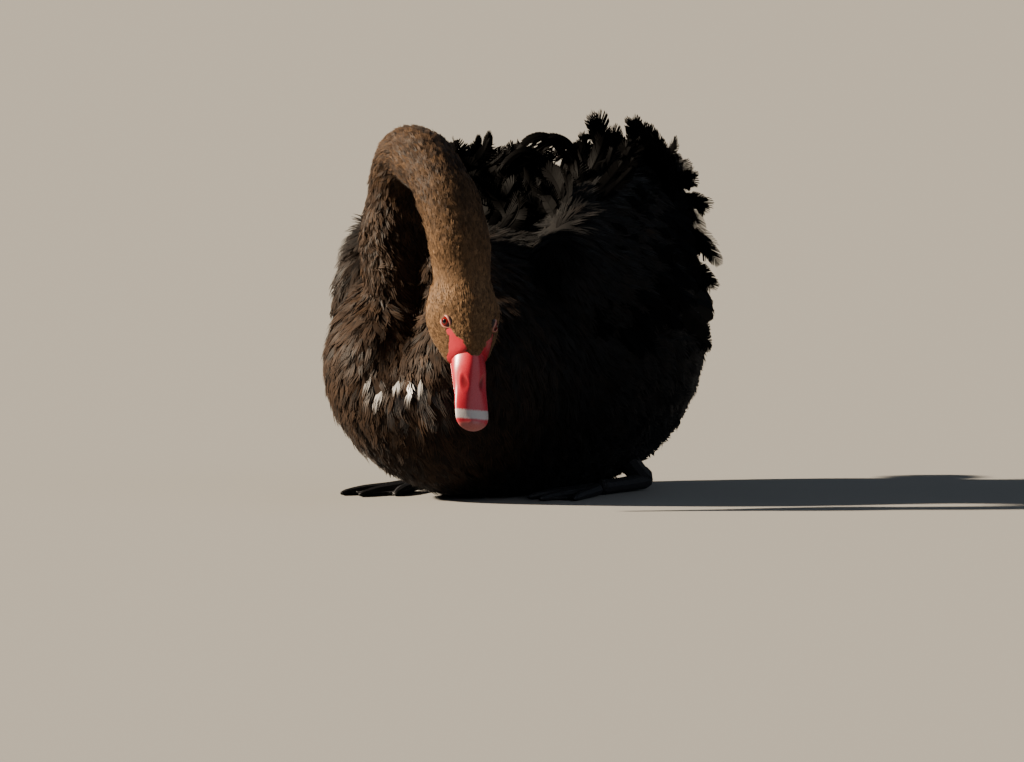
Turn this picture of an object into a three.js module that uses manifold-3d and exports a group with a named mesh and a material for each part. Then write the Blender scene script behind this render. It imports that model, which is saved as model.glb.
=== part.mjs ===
// A black swan at rest on its belly, neck arched and bill pointing down, life size.
// Millimetres, +Z up. The bird's breast faces -Y and its left side is +X.
// The origin is the middle of the flat that the belly rests on.
import * as THREE from "three";
import { mergeVertices } from "three/addons/utils/BufferGeometryUtils.js";
import Module from "manifold-3d";

const wasm = await Module();
wasm.setup();

// Driving dimensions
const gap = 0.3; // between pieces that touch
const waterLine = 75; // height of the line that the bird floats at, above the belly's flat
const billLength = 60; // from the feathers of the forehead to the nail's tip
const billTip = { x: 95, y: -287, z: waterLine - 8 };
const headTurn = 36; // degrees that the head turns to the bird's left
const headPitch = 60; // degrees that the bill points below level
const headRoll = 11; // degrees that the crown leans to the bird's left
const headLength = 88; // from the nape to the feathers of the forehead
const eyeRadius = 6.4;
const eyePlace = { along: 30, side: 18.4, up: 8 }; // behind the forehead's feathers, from the head's axis
const neckRadius = 26.5; // the upper neck, out to the tips of its short feathers
const archTop = 315; // highest point of the neck
const legPlace = { side: 84, heelY: 74, ankleY: -16 };
const tailRoot = { y: 246, z: 126 };
const tailLength = 92;

const degrees = THREE.MathUtils.degToRad;
const at = (x, y, z) => new THREE.Vector3(x, y, z);
const mix = THREE.MathUtils.lerp;

// Solids

// A closed geometry as a solid that can be joined and cut.
function solidOf(geometry) {
  const bare = geometry.clone();
  bare.deleteAttribute("normal");
  bare.deleteAttribute("uv");
  const merged = mergeVertices(bare, 1e-4);
  return new wasm.Manifold(
    new wasm.Mesh({
      numProp: 3,
      vertProperties: merged.attributes.position.array,
      triVerts: new Uint32Array(merged.index.array),
    }),
  );
}

// The same geometry with its surface moved outwards.
function grown(geometry, by) {
  const bare = geometry.clone();
  bare.deleteAttribute("normal");
  bare.deleteAttribute("uv");
  const merged = mergeVertices(bare, 1e-4);
  merged.computeVertexNormals();
  const place = merged.attributes.position;
  const out = merged.attributes.normal;
  for (let i = 0; i < place.count; i++) {
    place.setXYZ(
      i,
      place.getX(i) + by * out.getX(i),
      place.getY(i) + by * out.getY(i),
      place.getZ(i) + by * out.getZ(i),
    );
  }
  return merged;
}

// The same geometry with its faces turned the other way.
function turnedOut(geometry) {
  const corners = geometry.index.array;
  for (let i = 0; i < corners.length; i += 3) {
    [corners[i + 1], corners[i + 2]] = [corners[i + 2], corners[i + 1]];
  }
  return geometry;
}

// The same solid on the bird's other side.
function acrossBody(solid) {
  return solid.mirror([1, 0, 0]);
}

function joined(solids) {
  return solids.slice(1).reduce((whole, next) => whole.add(next), solids[0]);
}

// The largest closed body of a solid.
function largest(solid) {
  const bodies = solid.decompose();
  return bodies.reduce((a, b) => (b.volume() > a.volume() ? b : a));
}

const finishes = {
  plumage: { color: 0x17130f, roughness: 0.75 },
  bill: { color: 0xc21f1d, roughness: 0.35 },
  eye: { color: 0x8c1410, roughness: 0.1 },
  leg: { color: 0x1c1b1c, roughness: 0.6 },
};
const swan = new THREE.Group();

function addNode(name, solid, finish) {
  const { vertProperties, triVerts } = largest(solid).getMesh();
  const geometry = new THREE.BufferGeometry();
  geometry.setAttribute("position", new THREE.BufferAttribute(vertProperties, 3));
  geometry.setIndex(new THREE.BufferAttribute(triVerts, 1));
  geometry.computeVertexNormals();
  const material = new THREE.MeshStandardMaterial({ metalness: 0, ...finishes[finish] });
  const mesh = new THREE.Mesh(geometry, material);
  mesh.name = name;
  swan.add(mesh);
}

// Lofted forms

// Rows of named sizes, as functions of a share from 0, the first row, to 1, the last.
function through(rows) {
  const curves = {};
  for (const key of Object.keys(rows[0])) {
    curves[key] = new THREE.SplineCurve(rows.map((row, i) => new THREE.Vector2(i, row[key])));
  }
  return (share) => {
    const sizes = {};
    for (const key of Object.keys(curves)) sizes[key] = curves[key].getPoint(share).y;
    return sizes;
  };
}

// Rounds a form off over the first and last share of its length.
function roundedEnds(share, startShare, endShare) {
  const start = startShare ? Math.max(0, 1 - share / startShare) : 0;
  const end = endShare ? Math.max(0, 1 - (1 - share) / endShare) : 0;
  return Math.sqrt(Math.max(0, 1 - start * start)) * Math.sqrt(Math.max(0, 1 - end * end));
}

// A closed form whose sections are given by place(share, angle, round): a sphere's grid laid on them.
function loft({ along, around, startShare, endShare, place }) {
  const geometry = new THREE.SphereGeometry(1, around, along);
  const points = geometry.attributes.position;
  const uv = geometry.attributes.uv;
  for (let i = 0; i < points.count; i++) {
    const share = (1 - Math.cos(Math.PI * (1 - uv.getY(i)))) / 2;
    const round = roundedEnds(share, startShare, endShare);
    const angle = 2 * Math.PI * (uv.getX(i) % 1);
    const point = place(share, angle, share < 1e-6 || share > 1 - 1e-6 ? 0 : round);
    points.setXYZ(i, point.x, point.y, point.z);
  }
  return solidOf(geometry).volume() < 0 ? turnedOut(geometry) : geometry;
}

// Torso

const torsoSizes = through([
  { y: -230, halfWidth: 44, belly: 72, waist: 108, back: 142 },
  { y: -204, halfWidth: 79, belly: 38, waist: 110, back: 172 },
  { y: -158, halfWidth: 104, belly: 12, waist: 114, back: 202 },
  { y: -80, halfWidth: 128, belly: -3, waist: 120, back: 228 },
  { y: 0, halfWidth: 137, belly: -4, waist: 124, back: 240 },
  { y: 80, halfWidth: 132, belly: -2, waist: 126, back: 238 },
  { y: 150, halfWidth: 107, belly: 14, waist: 130, back: 220 },
  { y: 210, halfWidth: 80, belly: 50, waist: 134, back: 192 },
  { y: 254, halfWidth: 46, belly: 90, waist: 132, back: 160 },
]);

function torsoPoint(share, angle, round = 1) {
  const size = torsoSizes(share);
  const up = Math.sin(angle);
  const reach = up > 0 ? size.back - size.waist : size.waist - size.belly;
  const x = size.halfWidth * round * Math.cos(angle);
  return at(x, size.y, Math.max(0, size.waist + reach * round * up));
}

const torsoForm = loft({ along: 26, around: 32, startShare: 0.08, endShare: 0.06, place: torsoPoint });

// Head, in its own frame: +X along the bill, +Y to the bird's left, +Z to the crown.
// Its origin is on the head's axis under the front of the forehead's feathers.

const headFrame = new THREE.Matrix4()
  .makeRotationZ(degrees(-90 + headTurn))
  .multiply(new THREE.Matrix4().makeRotationY(degrees(headPitch)))
  .multiply(new THREE.Matrix4().makeRotationX(degrees(-headRoll)));
const tipFromHead = at(billLength, 0, -7);
headFrame.setPosition(at(billTip.x, billTip.y, billTip.z).sub(tipFromHead.clone().applyMatrix4(headFrame)));
const fromHead = (x, y, z) => at(x, y, z).applyMatrix4(headFrame);

const headSizes = through([
  { along: -headLength, halfWidth: 24, crown: 20, throat: -26, wide: -2 },
  { along: -68, halfWidth: 30, crown: 26, throat: -30, wide: -3 },
  { along: -47, halfWidth: 34, crown: 28, throat: -29, wide: -6 },
  { along: -28, halfWidth: 31, crown: 25.5, throat: -25, wide: -8 },
  { along: -11, halfWidth: 22.5, crown: 20, throat: -20, wide: -8 },
  { along: 2, halfWidth: 15.5, crown: 14, throat: -16.5, wide: -6 },
]);

function headPoint(share, angle, round = 1) {
  const size = headSizes(share);
  const up = Math.sin(angle);
  const reach = up > 0 ? size.crown - size.wide : size.wide - size.throat;
  // The skull narrows towards the crown, so that the eyes face a little forwards.
  const narrowing = 1 - 0.2 * Math.max(0, up);
  return at(
    size.along,
    size.halfWidth * round * narrowing * Math.cos(angle),
    size.wide + reach * round * up,
  );
}

const headForm = loft({ along: 18, around: 24, startShare: 0.16, endShare: 0.1, place: headPoint }).applyMatrix4(
  headFrame,
);

function eyeForm(side) {
  return new THREE.SphereGeometry(eyeRadius, 14, 10)
    .translate(-eyePlace.along, side * eyePlace.side, eyePlace.up)
    .applyMatrix4(headFrame);
}

// The lids: an almond ring round the eye's opening.
const lids = { reach: 3.6, radius: 5.4, thick: 1.5, open: 0.8 };

function lidForm(side) {
  const outwards = at(0.2, 0.86 * side, 0.47).normalize();
  const turn = new THREE.Quaternion().setFromUnitVectors(at(0, 0, 1), outwards);
  return new THREE.TorusGeometry(lids.radius, lids.thick, 6, 14)
    .scale(1, lids.open, 1)
    .applyQuaternion(turn)
    .translate(-eyePlace.along, side * eyePlace.side, eyePlace.up)
    .translate(lids.reach * outwards.x, lids.reach * outwards.y, lids.reach * outwards.z)
    .applyMatrix4(headFrame);
}

// Bill

const upperSizes = through([
  { along: -8, halfWidth: 15, ridge: 15.5, edge: -8.5 },
  { along: 8, halfWidth: 14.6, ridge: 11, edge: -8.8 },
  { along: 24, halfWidth: 13.8, ridge: 4.5, edge: -8 },
  { along: 40, halfWidth: 14.4, ridge: -0.5, edge: -8.4 },
  { along: 52, halfWidth: 13.6, ridge: -3, edge: -9.6 },
  { along: billLength, halfWidth: 7.5, ridge: -5, edge: -12 },
]);
const lowerSizes = through([
  { along: -6, halfWidth: 12.6, ridge: -9.4, edge: -17 },
  { along: 10, halfWidth: 12.4, ridge: -9.4, edge: -15.5 },
  { along: 32, halfWidth: 12, ridge: -9, edge: -13.4 },
  { along: 48, halfWidth: 11, ridge: -10.2, edge: -13.4 },
  { along: 55, halfWidth: 7, ridge: -11, edge: -13.2 },
]);

// A half of the bill: full and rounded on one face, flatter on the face that meets the other half.
function billHalf(sizes, roundUp) {
  return loft({
    along: 14,
    around: 16,
    startShare: 0.05,
    endShare: 0.12,
    place: (share, angle, round) => {
      const size = sizes(share);
      const up = Math.sin(angle);
      const depth = size.ridge - size.edge;
      const rounded = roundUp ? up > 0 : up < 0;
      const waist = roundUp ? size.edge + 0.22 * depth : size.ridge - 0.22 * depth;
      const reach = (rounded ? 0.78 : 0.22) * depth;
      return at(size.along, size.halfWidth * round * Math.cos(angle), waist + reach * round * up);
    },
  }).applyMatrix4(headFrame);
}

const upperForm = billHalf(upperSizes, true);
const lowerForm = billHalf(lowerSizes, false);

// A nostril: a long oval slot high on the side of the upper bill.
const nostril = { along: 22, side: 9.6, up: 2.6, length: 5.5, high: 1.5, deep: 2.6 };
const nostrilForm = (side) =>
  new THREE.SphereGeometry(1, 10, 8)
    .scale(nostril.length, nostril.deep, nostril.high)
    .rotateY(degrees(12))
    .translate(nostril.along, side * nostril.side, nostril.up)
    .applyMatrix4(headFrame);

// Neck: from the breast up and back, over the arch and down to the nape

const nape = fromHead(-headLength + 20, 0, -2);
const archMiddle = { x: -2, y: -192 };
const neckSizes = through([
  { x: 0, y: -122, z: 142, radius: 80 },
  { x: -12, y: -152, z: 184, radius: 58 },
  { x: -29, y: -160, z: 222, radius: 38 },
  { x: -30, y: -162, z: 256, radius: 30 },
  { x: -20, y: -174, z: archTop - neckRadius - 5, radius: 27 },
  { x: archMiddle.x, y: archMiddle.y, z: archTop - neckRadius, radius: neckRadius },
  { x: 27, y: -215, z: archTop - neckRadius - 16, radius: neckRadius + 0.5 },
  { x: 47, y: -229, z: 244, radius: neckRadius + 1.5 },
  { x: nape.x, y: nape.y, z: nape.z + 20, radius: neckRadius + 1.5 },
  { x: fromHead(-56, 0, 0).x, y: fromHead(-56, 0, 0).y, z: fromHead(-56, 0, 0).z, radius: 20 },
]);
const neckShares = { rise: 0.3, arch: 0.53, fall: 0.68 };

function neckMiddle(share) {
  const size = neckSizes(share);
  return at(size.x, size.y, size.z);
}

function neckTangent(share) {
  const step = 0.01;
  return neckMiddle(Math.min(1, share + step))
    .sub(neckMiddle(Math.max(0, share - step)))
    .normalize();
}

const archAcross = at(0.66, 0.75, 0);

function neckPoint(share, angle, round = 1) {
  const tangent = neckTangent(share);
  const side = archAcross.clone().addScaledVector(tangent, -archAcross.dot(tangent)).normalize();
  const out = new THREE.Vector3().crossVectors(tangent, side);
  const radius = neckSizes(share).radius * round;
  return neckMiddle(share)
    .addScaledVector(side, radius * Math.cos(angle))
    .addScaledVector(out, radius * Math.sin(angle));
}

const neckForm = loft({ along: 44, around: 20, startShare: 0.05, endShare: 0.05, place: neckPoint });

// A thin slice square to the neck, which parts its lengths.
function neckCut(share, thickness) {
  const slice = new THREE.CylinderGeometry(60, 60, thickness, 24);
  const turn = new THREE.Quaternion().setFromUnitVectors(at(0, 1, 0), neckTangent(share));
  const middle = neckMiddle(share);
  return slice.applyQuaternion(turn).translate(middle.x, middle.y, middle.z);
}

// Wings: a folded arm that lies along the body's side, raised a little at the rear

const wingSizes = through([
  { x: 86, y: -132, z: 172, thick: 18, high: 26, lean: 8 },
  { x: 93, y: -106, z: 178, thick: 27, high: 46, lean: 14 },
  { x: 96, y: -58, z: 190, thick: 32, high: 66, lean: 20 },
  { x: 98, y: 0, z: 200, thick: 34, high: 74, lean: 20 },
  { x: 93, y: 60, z: 205, thick: 32, high: 75, lean: 16 },
  { x: 80, y: 120, z: 206, thick: 24, high: 66, lean: 13 },
  { x: 60, y: 180, z: 200, thick: 16, high: 48, lean: 10 },
  { x: 43, y: 228, z: 188, thick: 9, high: 28, lean: 6 },
]);

// Makes an oval's section squarer.
const fuller = (value) => Math.sign(value) * Math.abs(value) ** 0.8;

function wingPoint(share, angle, round = 1) {
  const size = wingSizes(share);
  const lean = degrees(size.lean);
  const out = size.thick * round * fuller(Math.cos(angle));
  const up = size.high * round * fuller(Math.sin(angle));
  return at(
    size.x + out * Math.cos(lean) - up * Math.sin(lean),
    size.y,
    size.z + out * Math.sin(lean) + up * Math.cos(lean),
  );
}

const wingForm = loft({ along: 20, around: 22, startShare: 0.14, endShare: 0.08, place: wingPoint });

// Feathers

// Even random numbers from 0 to 1, the same on every run.
function seeded(seed) {
  let state = seed;
  return () => {
    state = (state * 1664525 + 1013904223) % 4294967296;
    return state / 4294967296;
  };
}

// Half the width of a vane along its length, as a share of its full half width.
const vaneWidths = [0.45, 0.85, 1, 0.92, 0.62, 0.16];

// One feather: a bent plate with a raised shaft. It leaves its root along `lie`, with its face to `face`,
// and bends by `curl` degrees towards that face over its length.
function vane({ root, lie, face, length, width, curl, roll = 0, thicken = 0 }) {
  const ahead = lie.clone().normalize();
  const out = face.clone().addScaledVector(ahead, -face.dot(ahead)).normalize();
  out.applyAxisAngle(ahead, degrees(roll));
  const side = new THREE.Vector3().crossVectors(ahead, out);
  const spans = vaneWidths.length - 1;
  const points = [];
  const place = root.clone();
  vaneWidths.forEach((share, i) => {
    const bend = degrees(curl) * ((i + 0.5) / spans) ** 1.6;
    const up = out.clone().multiplyScalar(Math.cos(bend)).addScaledVector(ahead, -Math.sin(bend));
    const half = (share * width) / 2;
    const shaft = mix(1.5, 0.8, i / spans) + thicken;
    const edge = mix(0.7, 0.5, i / spans) + thicken;
    for (const [across, level, thick] of [[-1, -0.14, edge], [0, 0, shaft], [1, -0.14, edge]]) {
      const middle = place.clone().addScaledVector(side, across * half).addScaledVector(up, level * half);
      points.push(middle.clone().addScaledVector(up, thick), middle.clone().addScaledVector(up, -thick));
    }
    place.addScaledVector(ahead, (length / spans) * Math.cos(bend));
    place.addScaledVector(out, (length / spans) * Math.sin(bend));
  });
  // Six points to a section: the upper and lower point of the left edge, the shaft and the right edge.
  const corners = [];
  const quad = (a, b, c, d) => corners.push(a, b, c, a, c, d);
  for (let i = 0; i < spans; i++) {
    const near = 6 * i;
    const far = near + 6;
    quad(near, near + 2, far + 2, far);
    quad(near + 2, near + 4, far + 4, far + 2);
    quad(near + 3, near + 1, far + 1, far + 3);
    quad(near + 5, near + 3, far + 3, far + 5);
    quad(near + 1, near, far, far + 1);
    quad(near + 4, near + 5, far + 5, far + 4);
  }
  const last = 6 * spans;
  quad(0, 1, 3, 2);
  quad(2, 3, 5, 4);
  quad(last + 2, last + 3, last + 1, last);
  quad(last + 4, last + 5, last + 3, last + 2);
  const geometry = new THREE.BufferGeometry();
  geometry.setAttribute("position", new THREE.Float32BufferAttribute(points.flatMap((v) => [v.x, v.y, v.z]), 3));
  geometry.setIndex(corners);
  const solid = solidOf(geometry);
  return solid.volume() > 0 ? solid : solidOf(turnedOut(geometry));
}

// Tiers of a folded wing. Each runs from its first feather to its last: the root's share of the wing's
// length, its angle round the wing (0 outwards, 90 up), and the way that the feather lies.
const wingTiers = [
  {
    name: "primaries", count: 5, share: [0.6, 0.78], angle: [-54, -16], lie: [[-0.3, 1, -0.1], [-0.3, 1, 0.02]],
    length: [128, 108], width: [24, 26], curl: [-8, -4], sink: 5,
  },
  {
    name: "secondaries", count: 4, share: [0.42, 0.7], angle: [-50, 2], lie: [[0, 1, -0.3], [-0.22, 1, -0.1]],
    length: [76, 90], width: [30, 32], curl: [0, 0], sink: 4,
  },
  {
    name: "greater coverts", count: 6, share: [0.24, 0.7], angle: [-34, 42], lie: [[0.02, 1, -0.75], [-0.1, 1, -0.15]],
    length: [56, 64], width: [27, 32], curl: [8, 24], sink: 4,
  },
  {
    name: "median coverts", count: 5, share: [0.12, 0.44], angle: [-20, 54], lie: [[0.06, 0.8, -0.7], [0, 1, -0.2]],
    length: [42, 50], width: [24, 28], curl: [6, 16], sink: 3,
  },
  {
    name: "tertials", count: 7, share: [0.26, 0.82], angle: [74, 90], lie: [[0, 1, 0.34], [-0.08, 1, 0.1]],
    length: [68, 48], width: [30, 34], curl: [46, 52], sink: 5,
  },
  {
    name: "scapulars", count: 6, share: [0.26, 0.74], angle: [112, 136], lie: [[-0.3, 1, 0.34], [-0.36, 1, 0.22]],
    length: [58, 62], width: [28, 32], curl: [30, 46], sink: 5,
  },
];

function wingFeathers(seed) {
  const random = seeded(seed);
  const vary = (by) => 1 + by * (2 * random() - 1);
  const vanes = [];
  for (const tier of wingTiers) {
    for (let i = 0; i < tier.count; i++) {
      const step = i / (tier.count - 1);
      const run = (pair) => mix(pair[0], pair[1], step);
      const share = run(tier.share) + 0.012 * (2 * random() - 1);
      const angle = degrees(run(tier.angle) + 5 * (2 * random() - 1));
      const foot = wingPoint(share, angle);
      const ahead = wingPoint(Math.min(1, share + 0.02), angle).sub(foot);
      const around = wingPoint(share, angle + 0.05).sub(foot);
      const face = new THREE.Vector3().crossVectors(around, ahead).normalize();
      if (face.dot(foot.clone().sub(at(90, foot.y, 200))) < 0) face.negate();
      const lie = at(...[0, 1, 2].map((k) => mix(tier.lie[0][k], tier.lie[1][k], step)));
      lie.normalize().addScaledVector(face, 0.1 * vary(0.4)).normalize();
      vanes.push(
        vane({
          root: foot.addScaledVector(face, -tier.sink),
          lie,
          face,
          length: run(tier.length) * vary(0.08),
          width: run(tier.width) * vary(0.08),
          curl: run(tier.curl) * vary(0.25),
          roll: 14 * (2 * random() - 1),
        }),
      );
    }
  }
  return vanes;
}

// Tail: a short wedge of stiff feathers

const tailSizes = through([
  { y: tailRoot.y - 22, halfWidth: 29, z: tailRoot.z, half: 20 },
  { y: tailRoot.y, halfWidth: 30, z: tailRoot.z + 1, half: 16 },
  { y: tailRoot.y + 0.3 * tailLength, halfWidth: 26, z: tailRoot.z + 2, half: 9 },
  { y: tailRoot.y + 0.55 * tailLength, halfWidth: 17, z: tailRoot.z + 4, half: 4 },
]);
const tailForm = loft({
  along: 12,
  around: 20,
  startShare: 0.1,
  endShare: 0.2,
  place: (share, angle, round) => {
    const size = tailSizes(share);
    return at(
      size.halfWidth * round * Math.cos(angle),
      size.y,
      size.z + size.half * round * Math.sin(angle),
    );
  },
});

const tailFan = { count: 7, spread: 17, width: 21 };

function tailFeathers(by = 0) {
  const vanes = [];
  const half = (tailFan.count - 1) / 2;
  for (let i = 0; i < tailFan.count; i++) {
    const off = (i - half) / half;
    vanes.push(
      vane({
        root: at(20 * off, tailRoot.y - 4, tailRoot.z + 3 - 7 * Math.abs(off)),
        lie: at(Math.sin(degrees(tailFan.spread * off)), 1, 0.05 - 0.06 * Math.abs(off)),
        face: at(0, 0, 1),
        length: tailLength * (1 - 0.34 * off * off),
        width: tailFan.width + 2 * by,
        thicken: by,
        curl: 4,
        roll: -16 * off,
      }),
    );
  }
  return vanes;
}

// Legs and feet, folded forwards under the flanks

// A round rod of changing radius through a few points, resting no lower than the floor.
function limb(points, around = 10, along = 12) {
  const sizes = through(points);
  return loft({
    along,
    around,
    startShare: 0.12,
    endShare: 0.12,
    place: (share, angle, round) => {
      const size = sizes(share);
      const ahead = sizes(Math.min(1, share + 0.02));
      const behind = sizes(Math.max(0, share - 0.02));
      const tangent = at(ahead.x - behind.x, ahead.y - behind.y, ahead.z - behind.z).normalize();
      const side = new THREE.Vector3().crossVectors(tangent, at(0, 0, 1)).normalize();
      const up = new THREE.Vector3().crossVectors(side, tangent);
      const point = at(size.x, size.y, size.z)
        .addScaledVector(side, size.radius * round * Math.cos(angle))
        .addScaledVector(up, size.radius * round * Math.sin(angle));
      point.z = Math.max(0, point.z);
      return point;
    },
  });
}

function legForm(by) {
  const { side, heelY, ankleY } = legPlace;
  const shank = limb([
    { x: side - 10, y: heelY - 66, z: 52, radius: 16 },
    { x: side - 6, y: heelY - 36, z: 34, radius: 11 },
    { x: side - 2, y: heelY - 8, z: 15, radius: 9 },
    { x: side, y: heelY + 4, z: 10, radius: 9 },
  ]);
  const tarsus = limb([
    { x: side, y: heelY + 6, z: 9.5, radius: 8.5 },
    { x: side, y: heelY - 20, z: 7.5, radius: 6.6 },
    { x: side + 1, y: ankleY + 20, z: 6.8, radius: 6.2 },
    { x: side + 1, y: ankleY, z: 7, radius: 7.4 },
  ]);
  return solidOf(grown(shank, by)).add(solidOf(grown(tarsus, by)));
}

const toes = [
  { turn: -15, length: 92 },
  { turn: -1, length: 112 },
  { turn: 13, length: 100 },
];
const toeRadius = 5.4;

function footForm() {
  const start = { x: legPlace.side + 1, y: legPlace.ankleY - 4 };
  const tips = toes.map(({ turn, length }) => ({
    x: start.x + length * Math.sin(degrees(turn)),
    y: start.y - length * Math.cos(degrees(turn)),
  }));
  const rods = tips.map((tip) => {
    const part = (share) => ({ x: mix(start.x, tip.x, share), y: mix(start.y, tip.y, share) });
    return solidOf(
      limb([
        { ...part(0), z: toeRadius, radius: toeRadius + 0.6 },
        { ...part(0.35), z: toeRadius - 1, radius: toeRadius - 0.6 },
        { ...part(0.7), z: toeRadius - 1.6, radius: toeRadius - 1.2 },
        { ...part(1), z: 2.2, radius: 2.4 },
      ], 8, 10),
    );
  });
  const outline = new THREE.Shape();
  outline.moveTo(start.x, start.y);
  outline.lineTo(mix(start.x, tips[0].x, 0.9), mix(start.y, tips[0].y, 0.9));
  for (let i = 1; i < tips.length; i++) {
    const before = tips[i - 1];
    const web = 0.74; // how far along the toes the web's hollow edge reaches
    outline.quadraticCurveTo(
      mix(start.x, (before.x + tips[i].x) / 2, web),
      mix(start.y, (before.y + tips[i].y) / 2, web),
      mix(start.x, tips[i].x, 0.9),
      mix(start.y, tips[i].y, 0.9),
    );
  }
  outline.closePath();
  const web = new THREE.ExtrudeGeometry(outline, { depth: 2.4, bevelEnabled: false, curveSegments: 5 });
  const hallux = limb([
    { x: start.x - 6, y: start.y + 10, z: 7, radius: 3.4 },
    { x: start.x - 16, y: start.y + 6, z: 4, radius: 3 },
    { x: start.x - 24, y: start.y - 2, z: 2, radius: 1.8 },
  ], 8, 8);
  return joined([...rods, solidOf(web.translate(0, 0, 1)), solidOf(hallux)]);
}

// Nodes

const torso = solidOf(torsoForm);
const torsoRoom = solidOf(grown(torsoForm, gap));
const neck = solidOf(neckForm);
const neckRoom = solidOf(grown(neckForm, gap));
const head = solidOf(headForm);
const headRoom = solidOf(grown(headForm, gap));
const eyes = [1, -1].map((side) => solidOf(eyeForm(side)));
const eyeRooms = [1, -1].map((side) => solidOf(grown(eyeForm(side), gap)));

addNode("torso", torso, "plumage");

const neckBase = neckCut(neckShares.rise, gap);
const neckCuts = [neckBase, neckCut(neckShares.arch, gap), neckCut(neckShares.fall, gap)].map(solidOf);
const neckPieces = neckCuts
  .reduce((rest, cut) => rest.subtract(cut), neck.subtract(torsoRoom).subtract(headRoom))
  .decompose()
  .filter((piece) => piece.volume() > 1000);
const shareOf = (piece) => {
  const box = piece.boundingBox();
  const middle = at(box.min[0] + box.max[0], box.min[1] + box.max[1], box.min[2] + box.max[2]).divideScalar(2);
  let nearest = { share: 0, distance: Infinity };
  for (let share = 0; share <= 1; share += 0.01) {
    const distance = neckMiddle(share).distanceTo(middle);
    if (distance < nearest.distance) nearest = { share, distance };
  }
  return nearest.share;
};
neckPieces.sort((a, b) => shareOf(a) - shareOf(b));
["neck_base", "neck_rise", "neck_arch", "neck_fall"].forEach((name, i) => {
  addNode(name, neckPieces[i], "plumage");
});

const lidded = joined([head, solidOf(lidForm(1)), solidOf(lidForm(-1))]);
addNode("head", eyeRooms.reduce((rest, room) => rest.subtract(room), lidded), "plumage");
addNode("eye_left", eyes[0], "eye");
addNode("eye_right", eyes[1], "eye");
const nostrils = solidOf(nostrilForm(1)).add(solidOf(nostrilForm(-1)));
addNode("bill_upper", solidOf(upperForm).subtract(headRoom).subtract(nostrils), "bill");
addNode(
  "bill_lower",
  solidOf(lowerForm).subtract(headRoom).subtract(solidOf(grown(upperForm, gap))),
  "bill",
);

const tailRoom = joined([solidOf(grown(tailForm, gap)), ...tailFeathers(gap)]);
const midline = new THREE.BoxGeometry(gap, 900, 900);
const feathered = (seed) => joined([solidOf(wingForm), ...wingFeathers(seed)]);
const cleared = (solid) =>
  [torsoRoom, neckRoom, headRoom, tailRoom, solidOf(midline)].reduce((rest, room) => rest.subtract(room), solid);
addNode("wing_left", cleared(feathered(11)), "plumage");
addNode("wing_right", cleared(acrossBody(feathered(29))), "plumage");
addNode("tail", joined([solidOf(tailForm), ...tailFeathers()]).subtract(torsoRoom), "plumage");

const leg = legForm(0).subtract(torsoRoom);
const foot = footForm().subtract(torsoRoom).subtract(legForm(gap));
addNode("leg_left", leg, "leg");
addNode("leg_right", acrossBody(leg), "leg");
addNode("foot_left", foot, "leg");
addNode("foot_right", acrossBody(foot), "leg");

export default swan;
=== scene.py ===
import math

import bpy
import numpy as np
from mathutils import Matrix, Vector, bvhtree, kdtree


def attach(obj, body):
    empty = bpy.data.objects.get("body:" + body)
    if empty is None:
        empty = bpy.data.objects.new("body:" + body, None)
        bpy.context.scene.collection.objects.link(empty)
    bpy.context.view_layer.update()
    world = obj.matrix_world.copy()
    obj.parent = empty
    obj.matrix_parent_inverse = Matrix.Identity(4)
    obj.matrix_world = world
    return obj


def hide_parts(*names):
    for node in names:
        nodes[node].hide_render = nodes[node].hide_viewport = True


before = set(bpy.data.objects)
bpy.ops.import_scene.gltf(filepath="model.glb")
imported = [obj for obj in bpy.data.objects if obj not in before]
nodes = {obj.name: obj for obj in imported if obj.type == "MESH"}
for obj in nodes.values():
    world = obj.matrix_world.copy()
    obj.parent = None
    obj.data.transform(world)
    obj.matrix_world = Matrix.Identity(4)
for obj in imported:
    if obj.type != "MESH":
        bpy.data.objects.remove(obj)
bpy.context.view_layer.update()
mm = 0.001
rng = np.random.default_rng(5)


# Sizes in millimetres, as in the solids
def through(rows):
    # rows of sizes as a smooth function of a share from 0 to 1, for one share or many
    table = np.array(rows, float)

    def at(share):
        place = np.clip(np.asarray(share, float), 0, 1) * (len(table) - 1)
        i = np.minimum(place.astype(int), len(table) - 2)
        t = (place - i)[..., None]
        before = table[np.maximum(i - 1, 0)]
        a = table[i]
        b = table[i + 1]
        after = table[np.minimum(i + 2, len(table) - 1)]
        slopeA = (b - before) / 2
        slopeB = (after - a) / 2
        cubic = (2 * a - 2 * b + slopeA + slopeB) * t**3
        square = (-3 * a + 3 * b - 2 * slopeA - slopeB) * t**2
        return cubic + square + slopeA * t + a

    return at


def roundedEnds(share, start, end):
    # rounds a form off over the first and last share of its length
    a = np.clip(1 - share / start, 0, 1)
    b = np.clip(1 - (1 - share) / end, 0, 1)
    return np.sqrt(1 - a * a) * np.sqrt(1 - b * b)


headSet = {
    "turn": 36, "pitch": 60, "roll": 11, "tip": (95, -287, 67), "billTip": (60, 0, -7),
    "nape": (-68, 0, -2), "inside": (-56, 0, 0),
}
headTurn = (
    Matrix.Rotation(math.radians(-90 + headSet["turn"]), 4, "Z")
    @ Matrix.Rotation(math.radians(headSet["pitch"]), 4, "Y")
    @ Matrix.Rotation(math.radians(-headSet["roll"]), 4, "X")
)
headOrigin = Vector(headSet["tip"]) - headTurn @ Vector(headSet["billTip"])
headFrame = np.array(Matrix.Translation(headOrigin) @ headTurn)


def fromHead(points):
    points = np.asarray(points, float)
    return points @ headFrame[:3, :3].T + headFrame[:3, 3]


def toHead(points):
    return (np.asarray(points, float) - headFrame[:3, 3]) @ headFrame[:3, :3]


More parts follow.
